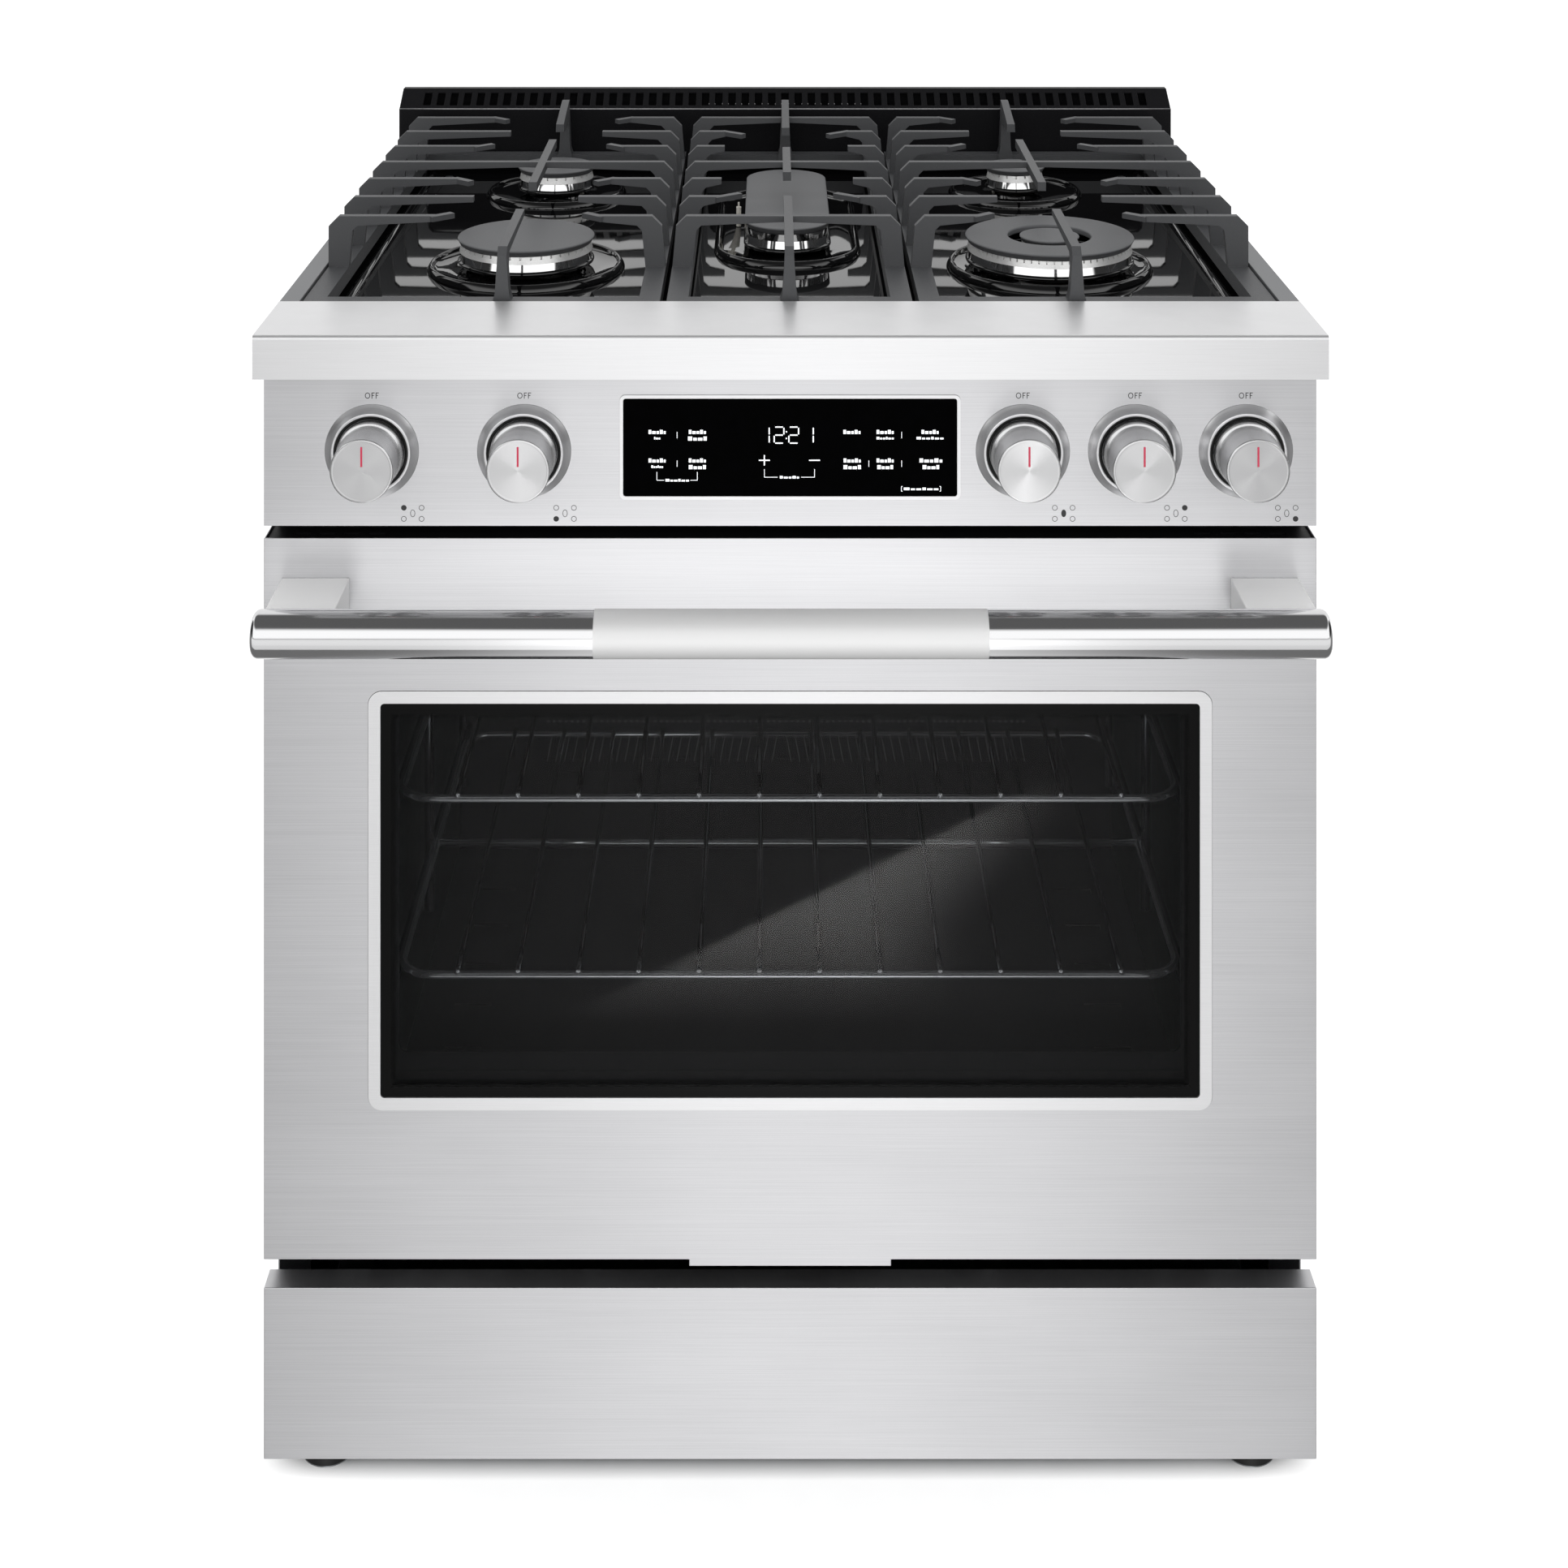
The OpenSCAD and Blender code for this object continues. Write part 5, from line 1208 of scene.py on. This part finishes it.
def vent_details(node="vent_trim"):
    """A thin bright hem along the lip, and crescents of the baffle that catch light in the middle slots."""
    front, lip = low(node)[1] / MM, high(node)[2] / MM - LIP_DROP
    hem = [(x, front + HEM_R, lip) for x in np.linspace(-half_w, half_w, 9) / MM]
    build("vent_hem", join_parts([tube_along(hem, HEM_R, 8)], MM), hem_metal, node, seam=1e-7)
    width = np.linspace(-SLIVER_HALF, SLIVER_HALF, 7)
    bend = (width / SLIVER_HALF) ** 2
    crescents = []
    for k in range(BRIGHT_SLOTS):
        x = (k - (BRIGHT_SLOTS - 1) / 2) * SLOT_PITCH
        path = np.stack([x + width, front + 7.5 + 0.8 * bend, lip + 3.1 + 0.5 * bend], axis=1)
        crescents.append(tube_along(path, SLIVER_R, 8))
    build("vent_baffle_light", join_parts(crescents, MM), hem_metal, node, seam=1e-7)


vent_details()
print("slivers in", BRIGHT_SLOTS, "slots")

# %% Fan cover perforations, drawn as painted highlights
DOT_PITCH = 5.5
STROKE_PITCH = 8.0
BEAD_HALF = 245.0
BEAD_R = 1.1
# Lighter than the oven's enamel: painted highlights on the row of ports and on the mesh.
glint_paint_on_enamel = moulded("enamel_painted_glints", "#66686a", "#525456", 0.35, 500.0, 0.01 * MM)


def fan_cover_details(node="fan_cover"):
    """A row of dots, a rolled bead under it, and strokes that lean away from the middle, in mm."""
    plane = low(node)[1]
    # The dots and strokes sit where the ports and the mesh are; their light tone is painted highlight.
    dots = [oval(x, 412.0, 1.3, 1.0) for x in np.arange(-220.0, 221.0, DOT_PITCH)]
    strokes = [slanted(x, 400.0, x + math.copysign(5.0, x), 375.0, 1.0)
               for x in np.arange(-216.0, 217.0, STROKE_PITCH)]
    print_marks("fan_cover_painted_glints", dots + strokes, plane, glint_paint_on_enamel, node)
    bead = [(x, plane / MM - 0.6, 402.0) for x in np.linspace(-BEAD_HALF, BEAD_HALF, 9)]
    build("fan_cover_bead", join_parts([tube_along(bead, BEAD_R, 8)], MM), hem_metal, node, seam=1e-7)
    return len(dots) + len(strokes)


print("perforations:", fan_cover_details())

# %% Stiffeners under the door
STRIPS = ((321.0, 17.0), (278.0, 9.0), (148.0, 9.0))
STRIP_LOW = 212.0
STRIP_HIGH = 240.0
STRIP_OUT = 1.2
STRIP_IN = 0.4
stiffener_grey = moulded("primed_steel_grey", "#58595b", "#4c4d4f", 0.5, 300.0, 0.01 * MM)


def box_part(x0, x1, y0, y1, z0, z1):
    """The eight corners and six faces of a strip."""
    corners = [(x, y, z) for x in (x0, x1) for y in (y0, y1) for z in (z0, z1)]
    return corners, [(0, 1, 3, 2), (4, 6, 7, 5), (0, 4, 5, 1), (2, 3, 7, 6), (0, 2, 6, 4), (1, 5, 7, 3)]


frame_face = low("front_frame")[1] / MM
stiffeners = [box_part(side * at - w / 2, side * at + w / 2, frame_face - STRIP_OUT, frame_face + STRIP_IN,
                       STRIP_LOW, STRIP_HIGH) for at, w in STRIPS for side in (-1, 1)]
build("frame_stiffeners", join_parts(stiffeners, MM), stiffener_grey, "front_frame", smooth=False, seam=1e-7)
print("stiffeners:", len(stiffeners))

# %% Rubber round the feet
FOOT_TALL = 8.3
FOOT_RIM = 4.0
FOOT_EDGE = 1.2
rubber = moulded("moulded_rubber_black", "#1b1b1b", "#111111", 0.5, 700.0, 0.02 * MM)


def foot_rims(node="leveling_legs"):
    """A ring of rubber round each foot's disc, from the floor to just over the disc."""
    rims = []
    for a, b in solids(node):
        r = (b - a)[0] / 2 / MM
        section = ([(r - FOOT_RIM, 0.0), (r - 0.9, 0.0), (r + 0.2, 1.1), (r + 0.2, FOOT_TALL - FOOT_EDGE)]
                   + rounded(r - 1.0, FOOT_TALL - FOOT_EDGE, FOOT_EDGE, 0, 90) + [(r - FOOT_RIM, FOOT_TALL)])
        rims.append(turned(np.array(section + section[:1]) * MM, (*((a + b) / 2)[:2], 0.0), "z", 48))
    build("foot_rims", join_parts(rims), rubber, node, seam=1e-7, crease=CORNER)
    return len(rims)


print("foot rims:", foot_rims())

# %% [markdown]
# ## The studio
#
# A sweep of white paper, a soft overhead light and a large window of light in front. The paper shows the
# range's real shadow, and under the base its glow is turned down as a painted shadow, deepest right
# under the base.

# %% Floor
FLOOR_HALF = 9.0
PAPER_GLOW = 0.80
# UNDER_GLOW and the SHADE steps paint a shadow under the base, over the paper's real one.
UNDER_GLOW = 0.02
SHADE_ENDS = np.array([-0.012, 0.040])
SHADE_FRONT = np.array([0.0980, 0.1178])
SHADE_BACK = np.array([-0.03, 0.0])
FALL = (1.0, 0.0)
RISE = (0.0, 1.0)


def painted_under_shadow(tree):
    """Painted shadow: one under the base and zero past it, a product of steps at its ends, its front and its
    back.
    """
    split = add(tree, "SeparateXYZ", Vector=place(tree))
    aside, deep = add(tree, "Math", ABSOLUTE, i0=split), split.outputs["Y"]
    ends = add(tree, "MapRange", SMOOTH, Value=aside, **across(half_w + SHADE_ENDS, FALL))
    front = add(tree, "MapRange", Value=deep, **across(face_y + SHADE_FRONT))
    back = add(tree, "MapRange", SMOOTH, Value=deep, **across(high("rear_panel")[1] + SHADE_BACK, FALL))
    return add(tree, "Math", TIMES, i0=add(tree, "Math", TIMES, i0=front, i1=back), i1=ends)


def white_floor():
    """A flat paper sheet under the feet, white to the camera but for a painted shadow under the base; unseen
    in mirrors.
    """
    sheet = bpy.data.meshes.new("floor")
    f = FLOOR_HALF
    sheet.from_pydata([(-f, -f, 0), (f, -f, 0), (f, f, 0), (-f, f, 0)], [], [(0, 1, 2, 3)])
    floor = bpy.data.objects.new("floor", sheet)
    bpy.context.scene.collection.objects.link(floor)
    made, tree, shader = mottled("white_paper_sweep", "#d6d6d6", "#cfcfcf", 30.0, Roughness=0.9)[:3]
    dress(floor, made)
    # Under the base the camera's glow drops from PAPER_GLOW to UNDER_GLOW: a painted shadow.
    strength = add(tree, "MapRange", Value=painted_under_shadow(tree), To_Min=PAPER_GLOW, To_Max=UNDER_GLOW)
    glow = add(tree, "Emission", Color=linear("#ffffff"), Strength=strength)
    both = add(tree, "AddShader", i0=shader, i1=glow)
    seen = add(tree, "LightPath").outputs["Is Camera Ray"]
    output = next(node for node in tree.nodes if node.type == "OUTPUT_MATERIAL")
    plug(tree, add(tree, "MixShader", i0=seen, i1=shader, i2=both), output, "Surface")
    floor.visible_glossy = False


white_floor()
print("floor of", 2 * FLOOR_HALF, "m")

# %% Lamps


def soft_box(name, where, aim, size, watts):
    """A rectangular area light that points at aim and isn't seen in mirrors."""
    data = bpy.data.lights.new(name, "AREA")
    data.shape = "RECTANGLE"
    data.size, data.size_y = size
    data.energy = watts
    lamp = bpy.data.objects.new(name, data)
    bpy.context.scene.collection.objects.link(lamp)
    x, y, z = (float(part) for part in np.array(aim, float) - np.array(where, float))
    lamp.location = where
    lamp.rotation_euler = (math.atan2(math.hypot(x, y), -z), 0.0, math.atan2(-x, y))
    lamp.visible_glossy = False
    return lamp


soft_box("overhead_box", (0.0, -0.4, 2.9), (0.0, 0.0, 0.9), (2.6, 2.0), 15.0)
soft_box("front_box", (0.0, -3.2, 1.5), (0.0, 0.0, 0.6), (2.4, 2.4), 24.0)
print("lamps:", len(bpy.data.lights))

# %% [markdown]
# The polished handle would mirror the dark gap over its head. Two faint strips of light stand just in front
# of the tube, one over the other, and only mirrors see them.

# %% Strip lights for the handle
STRIP_GAP = 10.5
STRIP_LONG = 0.81
STRIPS_AT = (("strip_upper", 1.8, -8.2, 0.019), ("strip_lower", -8.2, -20.6, 0.021))
strip_y = float(low("handle_bar")[1]) - STRIP_GAP * MM
for name, top, foot, watts in STRIPS_AT:
    strip_z = float(centre("handle_bar")[2]) + (top + foot) / 2 * MM
    strip = soft_box(name, (0.0, strip_y, strip_z), (0.0, strip_y + 1.0, strip_z),
                     (STRIP_LONG, (top - foot) * MM), watts)
    strip.visible_glossy = True
    strip.visible_diffuse = False
print("strips at", round(strip_y, 4))

# %% [markdown]
# Brushed steel and black enamel show whatever stands in the room. Below the horizon the room is brightest
# straight ahead and falls off to the sides. Above it stands one wide white screen, which ends at a dark
# ceiling and dark walls. A small slanting card low in front shows in the oven's glass. Behind the range the
# room is white. Only mirrors see this room: the camera sees white, and matt surfaces get one even light.

# %% The room that mirrors see
KEY_GLOW = 1.43
SIDE_GLOW = 0.25
KEY_ASIDE = 0.012
KEY_REACH = (0.02, 0.285)
LOW_SHADE = 0.77
HIGH_SHADE = 1.12
SHADE_REACH = (-0.75, -0.25)
SCREEN_GLOW = 1.35
SCREEN_REACH = (0.80, 0.85)
WALL_GLOW = 0.03
CEILING_GLOW = 0.12
CEILING_REACH = (0.53, 0.73)
HORIZON_REACH = (-0.06, 0.03)
BACK_GLOW = 1.0
BACK_REACH = (0.42, 0.62)
EVEN_LIGHT = 0.62


def lower_room(tree, split):
    """Straight ahead bright, sides dim, and darker towards the feet."""
    shifted = add(tree, "Math", MINUS, i0=split, i1=KEY_ASIDE)
    aside = add(tree, "Math", ABSOLUTE, i0=shifted)
    key = add(tree, "MapRange", SMOOTH, Value=aside, **across(KEY_REACH, (KEY_GLOW, SIDE_GLOW)))
    level = add(tree, "MapRange", SMOOTH, Value=split.outputs["Z"],
                **across(SHADE_REACH, (LOW_SHADE, HIGH_SHADE)))
    return add(tree, "Math", TIMES, i0=key, i1=level)


def upper_room(tree, split):
    """One wide screen between dark walls, under a dark ceiling."""
    aside = add(tree, "Math", ABSOLUTE, i0=split)
    screen = add(tree, "MapRange", SMOOTH, Value=aside, **across(SCREEN_REACH, (SCREEN_GLOW, WALL_GLOW)))
    ceiling = add(tree, "MapRange", SMOOTH, Value=split.outputs["Z"], **across(CEILING_REACH))
    return add(tree, "Mix", FLOAT_MIX, i0=ceiling, i2=screen, i3=CEILING_GLOW)


print("room: straight ahead", KEY_GLOW, "aside", SIDE_GLOW, "screen", SCREEN_GLOW)

# %% The card that the glass mirrors
CARD_GLOW = 6.0
CARD_SLOPE = 0.488
CARD_TOP = -0.5389
EDGE_REACH = (0.0, 0.002)
CARD_LEAN = 0.9
CARD_CORNER = 0.54
RIGHT_REACH = (0.030, 0.092)
FOOT_REACH = (-0.590, -0.530)
HEAD_REACH = (-0.500, -0.474)


def slanting_card(tree, split):
    """A half plane in the slopes X / |Y| and Z / |Y|, which fades at its right, its foot and its head."""
    ahead = add(tree, "Math", ABSOLUTE, i0=split.outputs["Y"])
    aside, up = (add(tree, "Math", {"operation": "DIVIDE"}, i0=split.outputs[way], i1=ahead) for way in "XZ")
    line = add(tree, "Math", TIMES_PLUS, i0=aside, i1=CARD_SLOPE, i2=CARD_TOP)
    below = add(tree, "Math", MINUS, i0=line, i1=up)
    over = add(tree, "Math", {"operation": "ADD"}, i0=up, i1=CARD_CORNER)
    lean = add(tree, "Math", LARGER, i0=over, i1=0.0)
    right = add(tree, "Math", TIMES_PLUS, i0=lean, i1=-CARD_LEAN, i2=aside)
    card = add(tree, "MapRange", SMOOTH, Value=right, **across(RIGHT_REACH, (CARD_GLOW, 0.0)))
    for value, reach, ends in ((below, EDGE_REACH, RISE), (up, FOOT_REACH, RISE), (up, HEAD_REACH, FALL)):
        part = add(tree, "MapRange", SMOOTH, Value=value, **across(reach, ends))
        card = add(tree, "Math", TIMES, i0=card, i1=part)
    return card


print("card glow", CARD_GLOW, "slope", CARD_SLOPE)

# %% The world
WHITE = linear("#ffffff")


def studio_world():
    """White for the camera, the room for mirrors, and one even light for everything else."""
    world = bpy.data.worlds.new("studio")
    bpy.context.scene.world = world
    world.use_nodes = True
    tree = world.node_tree
    tree.nodes.clear()
    output = tree.nodes.new("ShaderNodeOutputWorld")
    path = add(tree, "LightPath").outputs
    split = add(tree, "SeparateXYZ", Vector=add(tree, "TexCoord").outputs["Generated"])
    horizon = add(tree, "MapRange", SMOOTH, Value=split.outputs["Z"], **across(HORIZON_REACH))
    front = add(tree, "Mix", FLOAT_MIX, i0=horizon, i2=lower_room(tree, split), i3=upper_room(tree, split))
    card = add(tree, "Math", {"operation": "ADD"}, i0=front, i1=slanting_card(tree, split))
    back = add(tree, "MapRange", SMOOTH, Value=split.outputs["Y"], **across(BACK_REACH))
    glow = add(tree, "Mix", FLOAT_MIX, i0=back, i2=card, i3=BACK_GLOW)
    room, mirror, paper = (add(tree, "Background", Color=WHITE, Strength=level)
                           for level in (EVEN_LIGHT, glow, 1.0))
    glossy = add(tree, "MixShader", i0=path["Is Glossy Ray"], i1=room, i2=mirror)
    through = add(tree, "Math", LARGER, i0=path["Is Camera Ray"], i1=path["Is Transmission Ray"])
    plug(tree, add(tree, "MixShader", i0=through, i1=glossy, i2=paper), output, "Surface")


studio_world()
bpy.context.scene.view_settings.view_transform = "Standard"
print("world:", bpy.context.scene.world.name)
